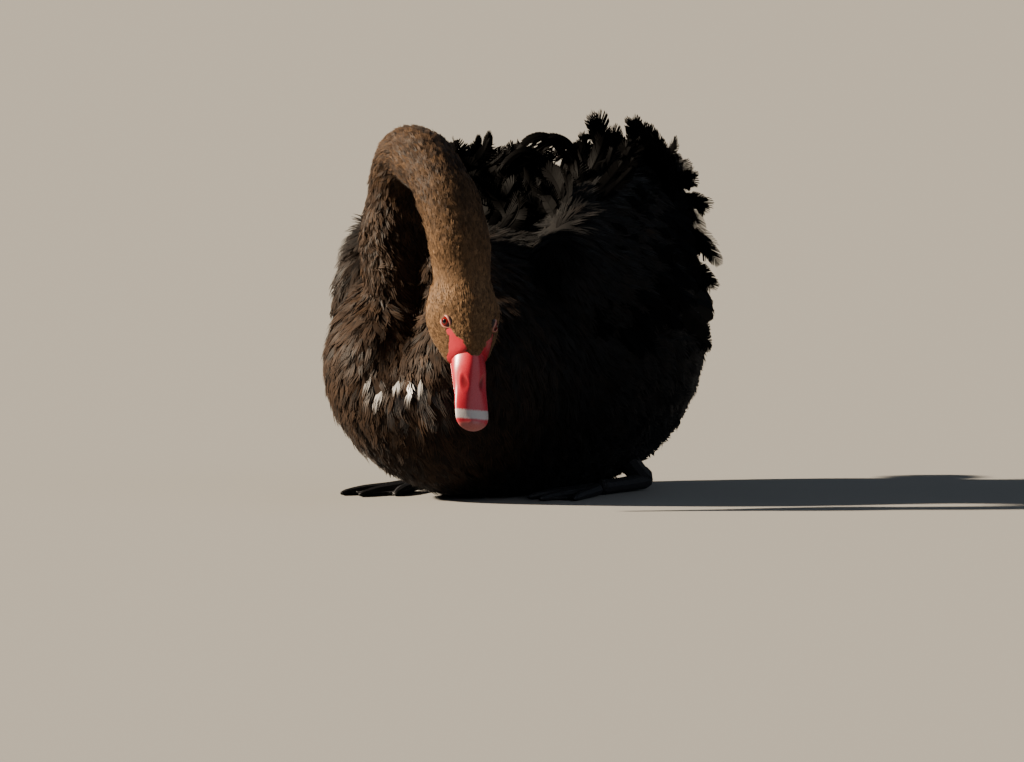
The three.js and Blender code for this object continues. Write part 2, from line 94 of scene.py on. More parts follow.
# x, y, z and radius of the neck, from the breast over the arch to the nape
napeX, napeY, napeZ = fromHead(headSet["nape"])
insideX, insideY, insideZ = fromHead(headSet["inside"])
neckAt = through([
    (0, -122, 142, 80),
    (-12, -152, 184, 58),
    (-29, -160, 222, 38),
    (-30, -162, 256, 30),
    (-20, -174, 283.5, 27),
    (-2, -192, 288.5, 26.5),
    (27, -215, 272.5, 27),
    (47, -229, 244, 28),
    (napeX, napeY, napeZ + 20, 28),
    (insideX, insideY, insideZ, 22),
])

# x, y, z, half thickness, half height and lean of the folded wing's core
wingAt = through([
    (86, -132, 172, 18, 26, 8),
    (93, -106, 178, 27, 46, 14),
    (96, -58, 190, 32, 66, 20),
    (98, 0, 200, 34, 74, 20),
    (93, 60, 205, 32, 75, 16),
    (80, 120, 206, 24, 66, 13),
    (60, 180, 200, 16, 48, 10),
    (43, 228, 188, 9, 28, 6),
])

# the core's section is a little squarer than an ellipse, whose power is 1
squareness = 0.8


def wingPoint(share, angle, full=1.0, shrink=0.0):
    # points on the wing's core, from shares of its length and angles round it
    size = wingAt(share)
    lean = np.radians(size[..., 5])
    across = np.cos(angle)
    upward = np.sin(angle)
    out = (size[..., 3] - shrink) * full * np.sign(across) * np.abs(across) ** squareness
    up = (size[..., 4] - shrink) * full * np.sign(upward) * np.abs(upward) ** squareness
    x = size[..., 0] + out * np.cos(lean) - up * np.sin(lean)
    z = size[..., 2] + out * np.sin(lean) + up * np.cos(lean)
    return np.stack([x, size[..., 1], z], -1)


# along, half width, ridge and edge of the bill's two halves
upperAt = through([
    (-8, 13.6, 13.5, -8.5),
    (8, 14.6, 11, -8.8),
    (24, 13.8, 4.5, -8),
    (40, 14.4, -0.5, -8.4),
    (52, 13.6, -3, -9.6),
    (60, 7.5, -5, -12),
])
lowerAt = through([
    (-6, 12.6, -9.4, -17),
    (10, 12.4, -9.4, -15.5),
    (32, 12, -9, -13.4),
    (48, 11, -10.2, -13.4),
    (55, 7, -11, -13.2),
])


# Meshes from arrays
def meshFrom(name, points, faces, material):
    # an object from points in millimetres and faces of equal size
    points = np.asarray(points, np.float32) * mm
    faces = np.asarray(faces, np.int32)
    mesh = bpy.data.meshes.new(name)
    mesh.vertices.add(len(points))
    mesh.vertices.foreach_set("co", points.ravel())
    mesh.loops.add(faces.size)
    mesh.loops.foreach_set("vertex_index", faces.ravel())
    mesh.polygons.add(len(faces))
    size = faces.shape[1]
    mesh.polygons.foreach_set("loop_start", np.arange(0, faces.size, size, dtype=np.int32))
    mesh.polygons.foreach_set("loop_total", np.full(len(faces), size, np.int32))
    mesh.polygons.foreach_set("use_smooth", np.ones(len(faces), bool))
    mesh.update(calc_edges=True)
    mesh.validate()
    obj = bpy.data.objects.new(name, mesh)
    bpy.context.scene.collection.objects.link(obj)
    mesh.materials.append(material)
    return obj


def read(items, what, width, kind=float):
    # one thing that a mesh says of each of its items, as rows of an array
    values = np.empty(width * len(items), kind)
    items.foreach_get(what, values)
    return values.reshape(-1, width)


def addUv(obj, name, perPoint):
    # a UV map from one place for each point
    corner = read(obj.data.loops, "vertex_index", 1, np.int32)[:, 0]
    layer = obj.data.uv_layers.new(name=name)
    layer.data.foreach_set("uv", np.asarray(perPoint, np.float32)[corner].ravel())


def addValue(obj, name, perPoint):
    layer = obj.data.attributes.new(name, "FLOAT", "POINT")
    layer.data.foreach_set("value", np.asarray(perPoint, np.float32))


def gridFaces(rows, columns, closed=False):
    # quads of a grid of points, whose last column meets the first if it is closed
    across = columns if closed else columns - 1
    r, c = np.meshgrid(np.arange(rows - 1), np.arange(across), indexing="ij")
    a = r * columns + c
    b = r * columns + (c + 1) % columns
    return np.stack([a, b, b + columns, a + columns], -1).reshape(-1, 4)


def tube(points):
    # a closed form from rings of points by rows and columns: its points, and quads with its ends shut
    rows, columns, _ = points.shape
    faces = gridFaces(rows, columns, closed=True)
    caps = []
    for ring, flip in ((0, True), (rows - 1, False)):
        ids = ring * columns + np.arange(columns)
        half = columns // 2
        for i in range(half - 1):
            quad = [ids[i], ids[i + 1], ids[columns - 2 - i], ids[columns - 1 - i]]
            caps.append(quad[::-1] if flip else quad)
    return points.reshape(-1, 3), np.vstack([faces, np.array(caps)])


def turnedOut(points, faces):
    # faces turned so that the closed form's volume is positive
    corners = points[faces]
    middle = points.mean(0)
    a, b, c, d = (corners[:, i] - middle for i in range(4))
    volume = np.einsum("ij,ij->i", a, np.cross(b, c)).sum() + np.einsum("ij,ij->i", a, np.cross(c, d)).sum()
    return faces if volume > 0 else faces[:, ::-1]


# Materials: short ways to write a node tree
class Tree:
    def __init__(self, tree):
        self.tree = tree

    def link(self, output, socket):
        self.tree.links.new(output, socket)

    def add(self, kind, inputs=(), **settings):
        node = self.tree.nodes.new(kind)
        for key, value in settings.items():
            setattr(node, key, value)
        for key, value in dict(inputs).items():
            if isinstance(value, bpy.types.NodeSocket):
                self.link(value, node.inputs[key])
            else:
                node.inputs[key].default_value = value
        return node

    def math(self, operation, a, b=0.0, clamp=False):
        return self.add("ShaderNodeMath", {0: a, 1: b}, operation=operation, use_clamp=clamp).outputs[0]

    def plus(self, a, b):
        return self.math("ADD", a, b)

    def minus(self, a, b):
        return self.math("SUBTRACT", a, b)

    def times(self, a, b):
        return self.math("MULTIPLY", a, b)

    def least(self, a, b):
        return self.math("MINIMUM", a, b)

    def mix(self, share, a, b):
        return self.add("ShaderNodeMix", {"Factor": share, 6: a, 7: b}, data_type="RGBA").outputs[2]

    def ramp(self, value, low, high):
        # 0 at low, 1 at high, eased between
        inputs = {"Value": value, "From Min": low, "From Max": high}
        return self.add("ShaderNodeMapRange", inputs, interpolation_type="SMOOTHSTEP").outputs[0]

    def between(self, value, places, heights):
        # a value read off straight lines between knots
        total = heights[0]
        for i in range(len(places) - 1):
            inputs = {"Value": value, "From Min": places[i], "From Max": places[i + 1]}
            inputs["To Max"] = heights[i + 1] - heights[i]
            total = self.plus(self.add("ShaderNodeMapRange", inputs).outputs[0], total)
        return total

    def value(self, name):
        return self.add("ShaderNodeAttribute", attribute_name=name).outputs["Fac"]

    def noise(self, scale, detail):
        where = self.add("ShaderNodeTexCoord").outputs["Object"]
        inputs = {"Vector": where, "Scale": scale, "Detail": detail, "Roughness": 0.55}
        return self.add("ShaderNodeTexNoise", inputs).outputs["Fac"]

    def bump(self, height, strength, distance):
        inputs = {"Height": height, "Strength": strength, "Distance": distance}
        return self.add("ShaderNodeBump", inputs).outputs[0]


def newMaterial(name, fixed):
    # a material with its unchanging sockets set, its tree, and the shader's sockets
    material = bpy.data.materials.new(name)
    material.use_nodes = True
    sockets = material.node_tree.nodes["Principled BSDF"].inputs
    for key, value in fixed.items():
        sockets[key].default_value = value
    return material, Tree(material.node_tree), sockets


def newGroup(name, inputs, outputs):
    # a shader node group with named sockets: itself, its tree, and what goes in and comes out
    group = bpy.data.node_groups.new(name, "ShaderNodeTree")
    for label, value in inputs.items():
        kind = "NodeSocketColor" if isinstance(value, tuple) else "NodeSocketFloat"
        group.interface.new_socket(label, in_out="INPUT", socket_type=kind).default_value = value
    for label, kind in outputs.items():
        group.interface.new_socket(label, in_out="OUTPUT", socket_type=kind)
    tree = Tree(group)
    return group, tree, tree.add("NodeGroupInput").outputs, tree.add("NodeGroupOutput").inputs


# How a vane is drawn: places across it run from its shaft at 0 to its edge at 0.5, along it from 0 to 1
vaneSet = {
    "slant": 0.9, "drift": 7.0, "shaft": (0.035, 0.012), "side": (0.34, 0.5), "tip": (0.72, 1.0), "root": 0.5,
    "wear": 900.0, "streak": 0.12, "rough": 0.5, "roughVary": 0.16, "shaftHeight": 2.0,
}


def buildVaneLook():
    # barbs, shaft, pale worn edge and a change of tone from feather to feather
    inputs = {"Dark": (0.01, 0.009, 0.008, 1), "Pale": (0.08, 0.065, 0.05, 1)}
    inputs.update({"Edge": 0.5, "Barbs": 60.0, "Tone": 0.3})
    outputs = {"Color": "NodeSocketColor", "Height": "NodeSocketFloat", "Roughness": "NodeSocketFloat"}
    group, tree, source, sink = newGroup("vaneLook", inputs, outputs)
    uv = tree.add("ShaderNodeUVMap", uv_map="Vane").outputs[0]
    across, along, _ = tree.add("ShaderNodeSeparateXYZ", {0: uv}).outputs
    off = tree.math("ABSOLUTE", tree.minus(across, 0.5))
    tint = tree.value("tint")
    slanted = tree.minus(along, tree.times(off, vaneSet["slant"]))
    drifted = tree.plus(slanted, tree.times(tint, vaneSet["drift"]))
    wave = tree.math("SINE", tree.times(drifted, source["Barbs"]))
    barbs = tree.plus(tree.times(wave, 0.5), 0.5)
    rim = tree.math("MAXIMUM", tree.ramp(off, *vaneSet["side"]), tree.ramp(along, *vaneSet["tip"]))
    patchy = tree.ramp(tree.noise(vaneSet["wear"], 2.0), 0.3, 0.7)
    worn = tree.times(tree.times(rim, source["Edge"]), tree.ramp(patchy, -0.6, 1.0))
    toned = tree.times(tree.times(tint, source["Tone"]), tree.ramp(along, 0.0, vaneSet["root"]))
    streaked = tree.times(tree.times(barbs, vaneSet["streak"]), source["Tone"])
    share = tree.math("ADD", tree.plus(worn, toned), streaked, clamp=True)
    tree.link(tree.mix(share, source["Dark"], source["Pale"]), sink["Color"])
    shaft = tree.times(tree.ramp(off, *vaneSet["shaft"]), vaneSet["shaftHeight"])
    tree.link(tree.plus(tree.times(barbs, 0.5), shaft), sink["Height"])
    tree.link(tree.plus(tree.times(tint, vaneSet["roughVary"]), vaneSet["rough"]), sink["Roughness"])
    return group


vaneLook = buildVaneLook()

# Feather colours from the wings' black, through the body's and neck's brown, to the head's
plumageColors = (
    ("Dark", (0.0019, 0.0018, 0.0018, 1), (0.011, 0.0062, 0.0036, 1), (0.11, 0.06, 0.028, 1)),
    ("Pale", (0.011, 0.0102, 0.0102, 1), (0.12, 0.064, 0.033, 1), (0.6, 0.345, 0.17, 1)),
)


def buildPlumageTone():
    outputs = {"Dark": "NodeSocketColor", "Pale": "NodeSocketColor"}
    group, tree, source, sink = newGroup("plumageTone", {"Warm": 0.5}, outputs)
    low = tree.math("MULTIPLY", source["Warm"], 2.0, clamp=True)
    high = tree.math("MULTIPLY", tree.minus(source["Warm"], 0.5), 2.0, clamp=True)
    for label, black, brown, fawn in plumageColors:
        tree.link(tree.mix(high, tree.mix(low, black, brown), fawn), sink[label])
    return group


plumageTone = buildPlumageTone()


def plumage(name, look, sheen, bump, gloss, colors=None):
    # with no colours of its own, a feather's come from how warm its root is
    fixed = {
        "Sheen Weight": sheen, "Sheen Roughness": 0.4, "Specular IOR Level": gloss,
        "Coat Roughness": 0.36, "Coat IOR": 2.2,
    }
    material, tree, sockets = newMaterial(name, fixed)
    vane = tree.add("ShaderNodeGroup", look, node_tree=vaneLook)
    if colors:
        for label, color in colors.items():
            vane.inputs[label].default_value = color
    else:
        warm = tree.add("ShaderNodeGroup", {"Warm": tree.value("warm")}, node_tree=plumageTone)
        for label in ("Dark", "Pale"):
            tree.link(warm.outputs[label], vane.inputs[label])
        tree.link(tree.value("wet"), sockets["Coat Weight"])
    tree.link(vane.outputs["Color"], sockets["Base Color"])
    tree.link(vane.outputs["Roughness"], sockets["Roughness"])
    tree.link(tree.bump(vane.outputs["Height"], bump, 0.0004), sockets["Normal"])
    return material


# Skin: the flesh nodes joined with the wings' cores, drawn in by the coat's depth from head to body,
# with plugs that bridge the gaps between the neck's lengths
skinSet = {
    "voxel": 3.2, "smooth": 8, "wingDepth": 0.5, "reach": 9.0, "behind": 2.0, "lowest": 1.5,
    "depthAt": (0, 0.4, 1, 1.6, 2), "depth": (0.6, 2.4, 1.9, 4.4, 2.4),
    "nape": 0.062, "napeSpread": 0.03, "napeTimes": 45,
}
plugSet = {"shares": (0.3, 0.53, 0.68), "half": 0.05, "rings": 8, "inside": 1.5, "points": 24}
coreSet = {"rings": 40, "points": 40, "round": (0.14, 0.08), "end": 0.02}
fleshNodes = ["torso", "neck_base", "neck_rise", "neck_arch", "neck_fall", "head"]


def nodeMesh(name):
    # a node's points in millimetres and its triangles
    mesh = nodes[name].data
    mesh.calc_loop_triangles()
    points = read(mesh.vertices, "co", 3)
    corners = read(mesh.loop_triangles, "vertices", 3, np.int32)
    turn = np.array(nodes[name].matrix_world)
    return (points @ turn[:3, :3].T + turn[:3, 3]) / mm, corners


def wingCore(side):
    share = 0.5 - 0.5 * np.cos(np.linspace(0, np.pi, coreSet["rings"]))
    angle = np.linspace(0, 2 * np.pi, coreSet["points"], endpoint=False)
    full = roundedEnds(share, *coreSet["round"])
    full[0] = full[-1] = coreSet["end"]
    across = share[:, None] + 0 * angle
    points, faces = tube(wingPoint(across, angle + 0 * across, full[:, None], skinSet["wingDepth"]))
    points = points * (side, 1, 1)
    return points, turnedOut(points, faces)


def neckPlug(share):
    rings = []
    for step in np.linspace(share - plugSet["half"], share + plugSet["half"], plugSet["rings"]):
        x, y, z, radius = neckAt(step)
        ahead = neckAt(step + 0.01)[:3] - neckAt(step - 0.01)[:3]
        rings.append(ringAt((x, y, z), ahead, radius - plugSet["inside"], plugSet["points"]))
    points, faces = tube(np.array(rings))
    return points, turnedOut(points, faces)


def buildSkin():
    parts = [nodeMesh(name) for name in fleshNodes]
    parts += [wingCore(side) for side in (1, -1)]
    parts += [neckPlug(share) for share in plugSet["shares"]]
    starts = np.cumsum([0] + [len(points) for points, _ in parts])
    points = np.vstack([points for points, _ in parts])
    faces = [tuple(row) for (_, rows), start in zip(parts, starts) for row in rows + start]
    mesh = bpy.data.meshes.new("skin")
    mesh.from_pydata(points * mm, [], faces)
    obj = bpy.data.objects.new("skin", mesh)
    bpy.context.scene.collection.objects.link(obj)
    remesh = obj.modifiers.new("remesh", "REMESH")
    remesh.mode = "VOXEL"
    remesh.voxel_size = skinSet["voxel"] * mm
    smooth = obj.modifiers.new("smooth", "SMOOTH")
    smooth.factor = 0.5
    smooth.iterations = skinSet["smooth"]
    shown = obj.evaluated_get(bpy.context.evaluated_depsgraph_get())
    obj.modifiers.clear()
    obj.data = bpy.data.meshes.new_from_object(shown)
    return obj, bvhtree.BVHTree.FromPolygons([Vector(p) for p in points], faces)


def shortfall(mesh, points, normals, solids):
    # how far the smoothed skin lies inside the solids, averaged with its neighbours
    behind = skinSet["behind"]
    short = np.full(len(points), np.nan)
    for i in range(len(points)):
        start = Vector(points[i] - behind * normals[i])
        hit = solids.ray_cast(start, Vector(normals[i]), behind + skinSet["reach"])
        if hit[3] is not None:
            short[i] = hit[3] - behind
    short = np.where(np.isnan(short), np.nanmedian(short), short)[:, None]
    return averaged(mesh, short, 4, 1.0)[:, 0]


def averaged(mesh, values, times, share):
    # values at the mesh's points, each moved by a share towards its neighbours' mean
    a, b = read(mesh.edges, "vertices", 2, np.int32).T
    for _ in range(times):
        total = values.copy()
        count = np.ones((len(values), 1))
        for here, other in ((a, b), (b, a)):
            np.add.at(total, here, values[other])
            np.add.at(count, here, 1)
        values = values + share * (total / count - values)
    return values


def ringAt(middle, ahead, radius, count):
    ahead = np.asarray(ahead, float)
    ahead = ahead / np.linalg.norm(ahead)
    side = np.cross(ahead, (0.3, -0.5, 0.8))
    side /= np.linalg.norm(side)
    up = np.cross(ahead, side)
    angle = np.linspace(0, 2 * np.pi, count, endpoint=False)[:, None]
    return np.asarray(middle) + radius * (np.cos(angle) * side + np.sin(angle) * up)


# The coat's path from the bill to the tail, with the body's reach at each place: x, z and reach in the head's
# frame, shares of the neck, and places along the body
pathSet = {
    "head": ((6, 0, 15), (-10, 0, 22), (-28, 0, 27), (-46, -1, 29), (-62, -2, 28)),
    "neck": np.linspace(0.94, 0.0, 60), "body": np.linspace(-100, 250, 30), "bodyHeight": 124,
    "bodyAt": (-100, 0, 100, 250), "bodyReach": (118, 125, 120, 40),
}
# How feathers lie: the body's back and down, and more downwards and outwards on its front
laySet = {
    "blend": 0.12, "frontAt": -60, "frontOver": 90, "outwards": 0.5, "wide": 60,
    "back": (1, -0.9), "down": (-0.42, -0.6),
}


def pathOfCoat():
    # places, reach, the way that feathers lie, and 0 on the head, 1 on the neck, 2 on the body
    head = fromHead([(x, 0, z) for x, z, _ in pathSet["head"]])
    headReach = [reach for _, _, reach in pathSet["head"]]
    neck = neckAt(pathSet["neck"])
    body = np.array([(0, y, pathSet["bodyHeight"]) for y in pathSet["body"]])
    bodyReach = np.interp(body[:, 1], pathSet["bodyAt"], pathSet["bodyReach"])
    places = np.vstack([head, neck[:, :3], body])
    reach = np.concatenate([headReach, neck[:, 3], bodyReach])
    kind = np.repeat((0.0, 1.0, 2.0), (len(head), len(neck), len(body)))
    ways = np.gradient(places, axis=0)
    ways /= np.linalg.norm(ways, axis=1)[:, None]
    return places, reach, kind, ways


pathPlaces, pathReach, pathKind, pathWays = pathOfCoat()


def regions(points):
    # for each point: 0 on the head to 2 on the body, the way of its feathers, and its share of the path
    apart = np.linalg.norm(points[:, None] - pathPlaces, axis=2)
    near = apart / pathReach
    weight = np.exp(-((near - near.min(1, keepdims=True)) / laySet["blend"]) ** 2)
    weight /= weight.sum(1, keepdims=True)
    kind = weight @ pathKind
    share = weight @ np.linspace(0, 1, len(pathKind))
    neckWay = weight @ (pathWays * (pathKind < 2)[:, None])
    ahead = np.clip((laySet["frontAt"] - points[:, 1]) / laySet["frontOver"], 0, 1)
    outwards = laySet["outwards"] * np.tanh(points[:, 0] / laySet["wide"]) * ahead
    back, down = (start + more * ahead for start, more in (laySet["back"], laySet["down"]))
    bodyShare = np.clip(weight @ (pathKind == 2), 0, 1)[:, None]
    return kind, neckWay + np.stack([outwards, back, down], 1) * bodyShare, share


# Colour along the path, down the front of the body and across it, with faint blotches; across the breast, its
# side away from the sun is made darker as painted shade
warmSet = {
    "frontAt": (-160, -95), "front": (0.44, 0.05), "left": 0.3, "shadedSideFrom": 20, "shadedSideOver": 60, "least": 0.02,
    "neckAt": (0.02, 0.06, 0.13, 0.2, 0.35, 0.6), "neck": (0.97, 0.9, 0.72, 0.56, 0.54, 0.48),
    "bodyFrom": 1.2, "bodyOver": 0.6, "blotch": 0.05, "blotchSize": (5.1, 7, 6.3, 4.3), "vary": 0.035,
}
# The breast beside the bill is wet at the water's line
wetSet = {"high": (66, 76, 98, 108), "across": (-42, -24, 24, 42), "front": -130, "share": 0.6}


def warmth(points, kind, share):
    # 1 on the pale brown head, about 0.5 on neck and breast, lower on the breast's side away from the sun as
    # painted shade, 0 on the black back and wings
    x, y, z = points.T
    front = np.interp(y, warmSet["frontAt"], warmSet["front"])
    # painted shade: the breast grows less warm, so darker, from x of 20 mm towards the side away from the sun
    front -= warmSet["left"] * np.clip((x - warmSet["shadedSideFrom"]) / warmSet["shadedSideOver"], 0, 1)
    wide, deep, bent, high = warmSet["blotchSize"]
    blotch = np.sin(x / wide + 1.3 * np.sin(z / bent)) * np.sin(z / high + y / deep)
    neck = np.interp(share, warmSet["neckAt"], warmSet["neck"]) + warmSet["blotch"] * blotch
    body = np.clip((kind - warmSet["bodyFrom"]) / warmSet["bodyOver"], 0, 1)
    return np.clip(neck * (1 - body) + np.maximum(front, warmSet["least"]) * body, 0, 1)


def wetness(points):
    high = np.interp(points[:, 2], wetSet["high"], (0, 1, 1, 0))
    across = np.interp(points[:, 0], wetSet["across"], (0, 1, 1, 0))
    return high * across * (points[:, 1] < wetSet["front"])


# Where the neck folds back, the middle of the breast is hollow
hollow = {"x": -2, "width": 24, "deep": 22, "low": (80, 160), "high": (250, 205), "front": (-150, -185)}


def eased(value, start, end):
    t = np.clip((value - start) / (end - start), 0, 1)
    return t * t * (3 - 2 * t)


def hollowDepth(points):
    x, y, z = points.T
    band = np.exp(-(((x - hollow["x"]) / hollow["width"]) ** 2))
    tall = eased(z, *hollow["low"]) * eased(z, *hollow["high"])
    return hollow["deep"] * band * tall * eased(y, *hollow["front"])


skin, solids = buildSkin()
skinMesh = skin.data


def fitSkin():
    # draws the skin in by the coat's depth, and smooths the nape so that it runs into the neck without a step
    points = read(skinMesh.vertices, "co", 3) / mm
    normals = read(skinMesh.vertices, "normal", 3)
    kind, way, path = regions(points)
    depth = np.interp(kind, skinSet["depthAt"], skinSet["depth"])
    depth += hollowDepth(points) - shortfall(skinMesh, points, normals, solids)
    points -= normals * depth[:, None]
    nape = np.exp(-(((path - skinSet["nape"]) / skinSet["napeSpread"]) ** 2)) * (kind < 1.2)
    points = averaged(skinMesh, points, skinSet["napeTimes"], nape[:, None])
    points[:, 2] = np.maximum(points[:, 2], skinSet["lowest"])
    skinMesh.vertices.foreach_set("co", (points * mm).astype(np.float32).ravel())
    skinMesh.polygons.foreach_set("use_smooth", np.ones(len(skinMesh.polygons), bool))
    skinMesh.update()
    print("skin", len(points), "points")
    return points, kind, way, path


skinPoints, skinKind, skinWay, skinPath = fitSkin()
skinNormals = read(skinMesh.vertices, "normal", 3)

# an unwrap of the skin's own shape, which places each tuft's patch too
bpy.context.view_layer.objects.active = skin
skin.select_set(True)
bpy.ops.object.mode_set(mode="EDIT")
bpy.ops.mesh.select_all(action="SELECT")
bpy.ops.uv.smart_project(angle_limit=math.radians(66), island_margin=0.004)
bpy.ops.object.mode_set(mode="OBJECT")
skinMesh = skin.data
skinMesh.uv_layers[0].name = "OFBake"
skinMesh.calc_loop_triangles()
triCorners = read(skinMesh.loop_triangles, "vertices", 3, np.int32)
triLoops = read(skinMesh.loop_triangles, "loops", 3, np.int32)
skinUv = read(skinMesh.uv_layers["OFBake"].data, "uv", 2, np.float32)
print("skin unwrapped")

# Bare skin from the eye to the bill: its upper and lower edges, and the brow's point between the two sides
eyeSet = {"along": 30, "side": 18.4, "up": 8, "radius": 6.4, "gap": 0.1, "faces": (0.2, 0.86, 0.47)}
bareSet = {
    "at": (0.0, 0.35, 0.6, 0.75), "top": (10.4, 12.0, 16.5, 18.0), "low": (8.0, 5.6, -0.5, -13.0),
    "from": 4.0, "over": 2.0, "point": 4.5, "slope": 0.75, "brow": 9.5,
}


def bareShare(local):
    # 1 on the bare red skin between eye and bill, in the head's frame
    along, side, up = local[..., 0], np.abs(local[..., 1]), local[..., 2]
    forward = (along + eyeSet["along"] - bareSet["from"]) / (eyeSet["along"] + bareSet["over"])
    top = np.interp(forward, bareSet["at"], bareSet["top"])
    low = np.interp(forward, bareSet["at"], bareSet["low"])
    brow = np.minimum((bareSet["point"] - along) * bareSet["slope"], bareSet["brow"])
    inside = np.minimum(np.minimum(top - up, up - low), side - brow)
    inside = np.where((forward > -0.06) & (side > 2), inside, -5)
    return np.clip(inside / 1.2 + 0.5, 0, 1)


# Roots on the skin, each clear of those in the cells round it
nearCells = [(x, y, z) for x in (-1, 0, 1) for y in (-1, 0, 1) for z in (-1, 0, 1)]


def isClear(grid, key, point, apart):
    # whether a point is clear of those already in its cell and the cells round it
    for step in nearCells:
        for other in grid.get((key[0] + step[0], key[1] + step[1], key[2] + step[2]), ()):
            gap = (other[0] - point[0]) ** 2 + (other[1] - point[1]) ** 2 + (other[2] - point[2]) ** 2
            if gap < apart**2:
                return False
    return True


def thinned(points, apart):
    # which points are kept, taken in turn, so that each is clear of the others
    cell = float(apart.max())
    keys = np.floor(points / cell).astype(int)
    grid = {}
    kept = []
    for i, point in enumerate(points):
        key = tuple(keys[i])
        if isClear(grid, key, point, apart[i]):
            grid.setdefault(key, []).append(tuple(point))
            kept.append(i)
    return np.array(kept)


def scattered(spacing, candidates, keep):
    # roots on the skin, each clear of the others, with what the skin says at each
    a, b, c = (skinPoints[triCorners[:, i]] for i in range(3))
    area = np.linalg.norm(np.cross(b - a, c - a), axis=1) / 2
    kind = skinKind[triCorners].mean(1)
    weight = area * keep((a + b + c) / 3, kind) / spacing(kind) ** 2
    chosen = rng.choice(len(area), candidates, p=weight / weight.sum())
    r1 = np.sqrt(rng.random(candidates))
    r2 = rng.random(candidates)
    shares = np.stack([1 - r1, r1 * (1 - r2), r1 * r2], 1)
    corners = triCorners[chosen]
    found = {
        "root": skinPoints[corners], "out": skinNormals[corners], "way": skinWay[corners],
        "kind": skinKind[corners], "path": skinPath[corners], "place": skinUv[triLoops[chosen]],
    }
    found = {key: np.einsum("ij,ij...->i...", shares, values) for key, values in found.items()}
    found["out"] /= np.linalg.norm(found["out"], axis=1)[:, None]
    kept = thinned(found["root"], spacing(found["kind"]))
    return {key: values[kept] for key, values in found.items()}


def laidFlat(ways, normals):
    # ways turned down onto the surface
    flat = ways - normals * np.einsum("ij,ij->i", ways, normals)[:, None]
    return flat / np.maximum(np.linalg.norm(flat, axis=1), 1e-6)[:, None]


def turned(vectors, axes, angles):
    # vectors turned about axes by angles in radians
    cos = np.cos(angles)[:, None]
    sin = np.sin(angles)[:, None]
    along = axes * np.einsum("ij,ij->i", axes, vectors)[:, None]
    return along + (vectors - along) * cos + np.cross(axes, vectors) * sin


# Feathers
def spine(roots, ways, outs, sizes, rows):
    # centre lines of vanes and the directions along, up and across them, as rows along each vane
    t = np.linspace(0, 1, rows)
    ways = laidFlat(ways, outs)
    outs = turned(outs, ways, np.radians(sizes["roll"]))
    side = np.cross(ways, outs)
    bend = np.radians(sizes["lift"][:, None] + sizes["curl"][:, None] * ((t[:-1] + t[1:]) / 2) ** 1.7)
    step = sizes["length"][:, None] * np.diff(t)
    nothing = np.zeros((len(roots), 1))
    forward = np.concatenate([nothing, np.cumsum(np.cos(bend) * step, 1)], 1)[..., None]
    rise = np.concatenate([nothing, np.cumsum(np.sin(bend) * step, 1)], 1)[..., None]
    tilt = np.concatenate([bend, bend[:, -1:]], 1)[..., None]
    ahead = ways[:, None] * np.cos(tilt) + outs[:, None] * np.sin(tilt)
    up = outs[:, None] * np.cos(tilt) - ways[:, None] * np.sin(tilt)
    centre = roots[:, None] + ways[:, None] * forward + outs[:, None] * rise
    centre = centre + side[:, None] * (sizes["sweep"][:, None] * t**2)[..., None]
    return centre, ahead, up, np.broadcast_to(side[:, None], centre.shape)


def bowed(roots, bows, tips, faces, rows):
    # the same for vanes that run from a root to a tip past a middle point
    t = np.linspace(0, 1, rows)[None, :, None]
    centre = roots[:, None] * (1 - t) ** 2 + 2 * bows[:, None] * t * (1 - t) + tips[:, None] * t**2
    ahead = np.gradient(centre, axis=1)
    ahead /= np.linalg.norm(ahead, axis=2)[..., None]
    up = faces[:, None] - ahead * np.einsum("ijk,ik->ij", ahead, faces)[..., None]
    up /= np.linalg.norm(up, axis=2)[..., None]
    return centre, ahead, up, np.cross(ahead, up)


# A tuft's strips: their breadth along it, and how they part, narrow, stray, fall back and rise to their tips
tuftSet = {
    "at": (0, 0.2, 0.5, 1), "breadth": (0.35, 0.8, 1, 0.95), "parts": 0.3, "spread": 0.3, "narrow": 0.86,
    "stray": 0.2, "back": 0.3, "short": 0.09, "rise": 0.07, "patch": 0.003,
}
# A vane's barbs along its shaft: their angle and reach, how they part here and there, and their breadth
barbSet = {
    "angleAt": (0, 0.5, 0.85, 1), "angle": (24, 38, 54, 78), "part": 26, "vary": 0.9, "steepest": 1.0,
    "reachAt": (0, 0.1, 0.3, 0.6, 0.8, 0.93, 1), "reach": (0.3, 0.62, 0.92, 1, 0.9, 0.58, 0.16),
    "cut": 0.6, "uneven": 0.05, "lift": 0.5, "gaps": (3, 6), "out": (0, 0.55, 1), "breadth": (1.1, 1.35, 1.0),
    "shaft": (0.6, 0.2), "proud": 0.25, "patch": 0.9,
}
lowestFeather = 0.4


def copies(faces, count, size):
    # the same faces for each of many vanes, whose points follow each other
    return (faces[None] + np.arange(count)[:, None, None] * size).reshape(-1, 4)


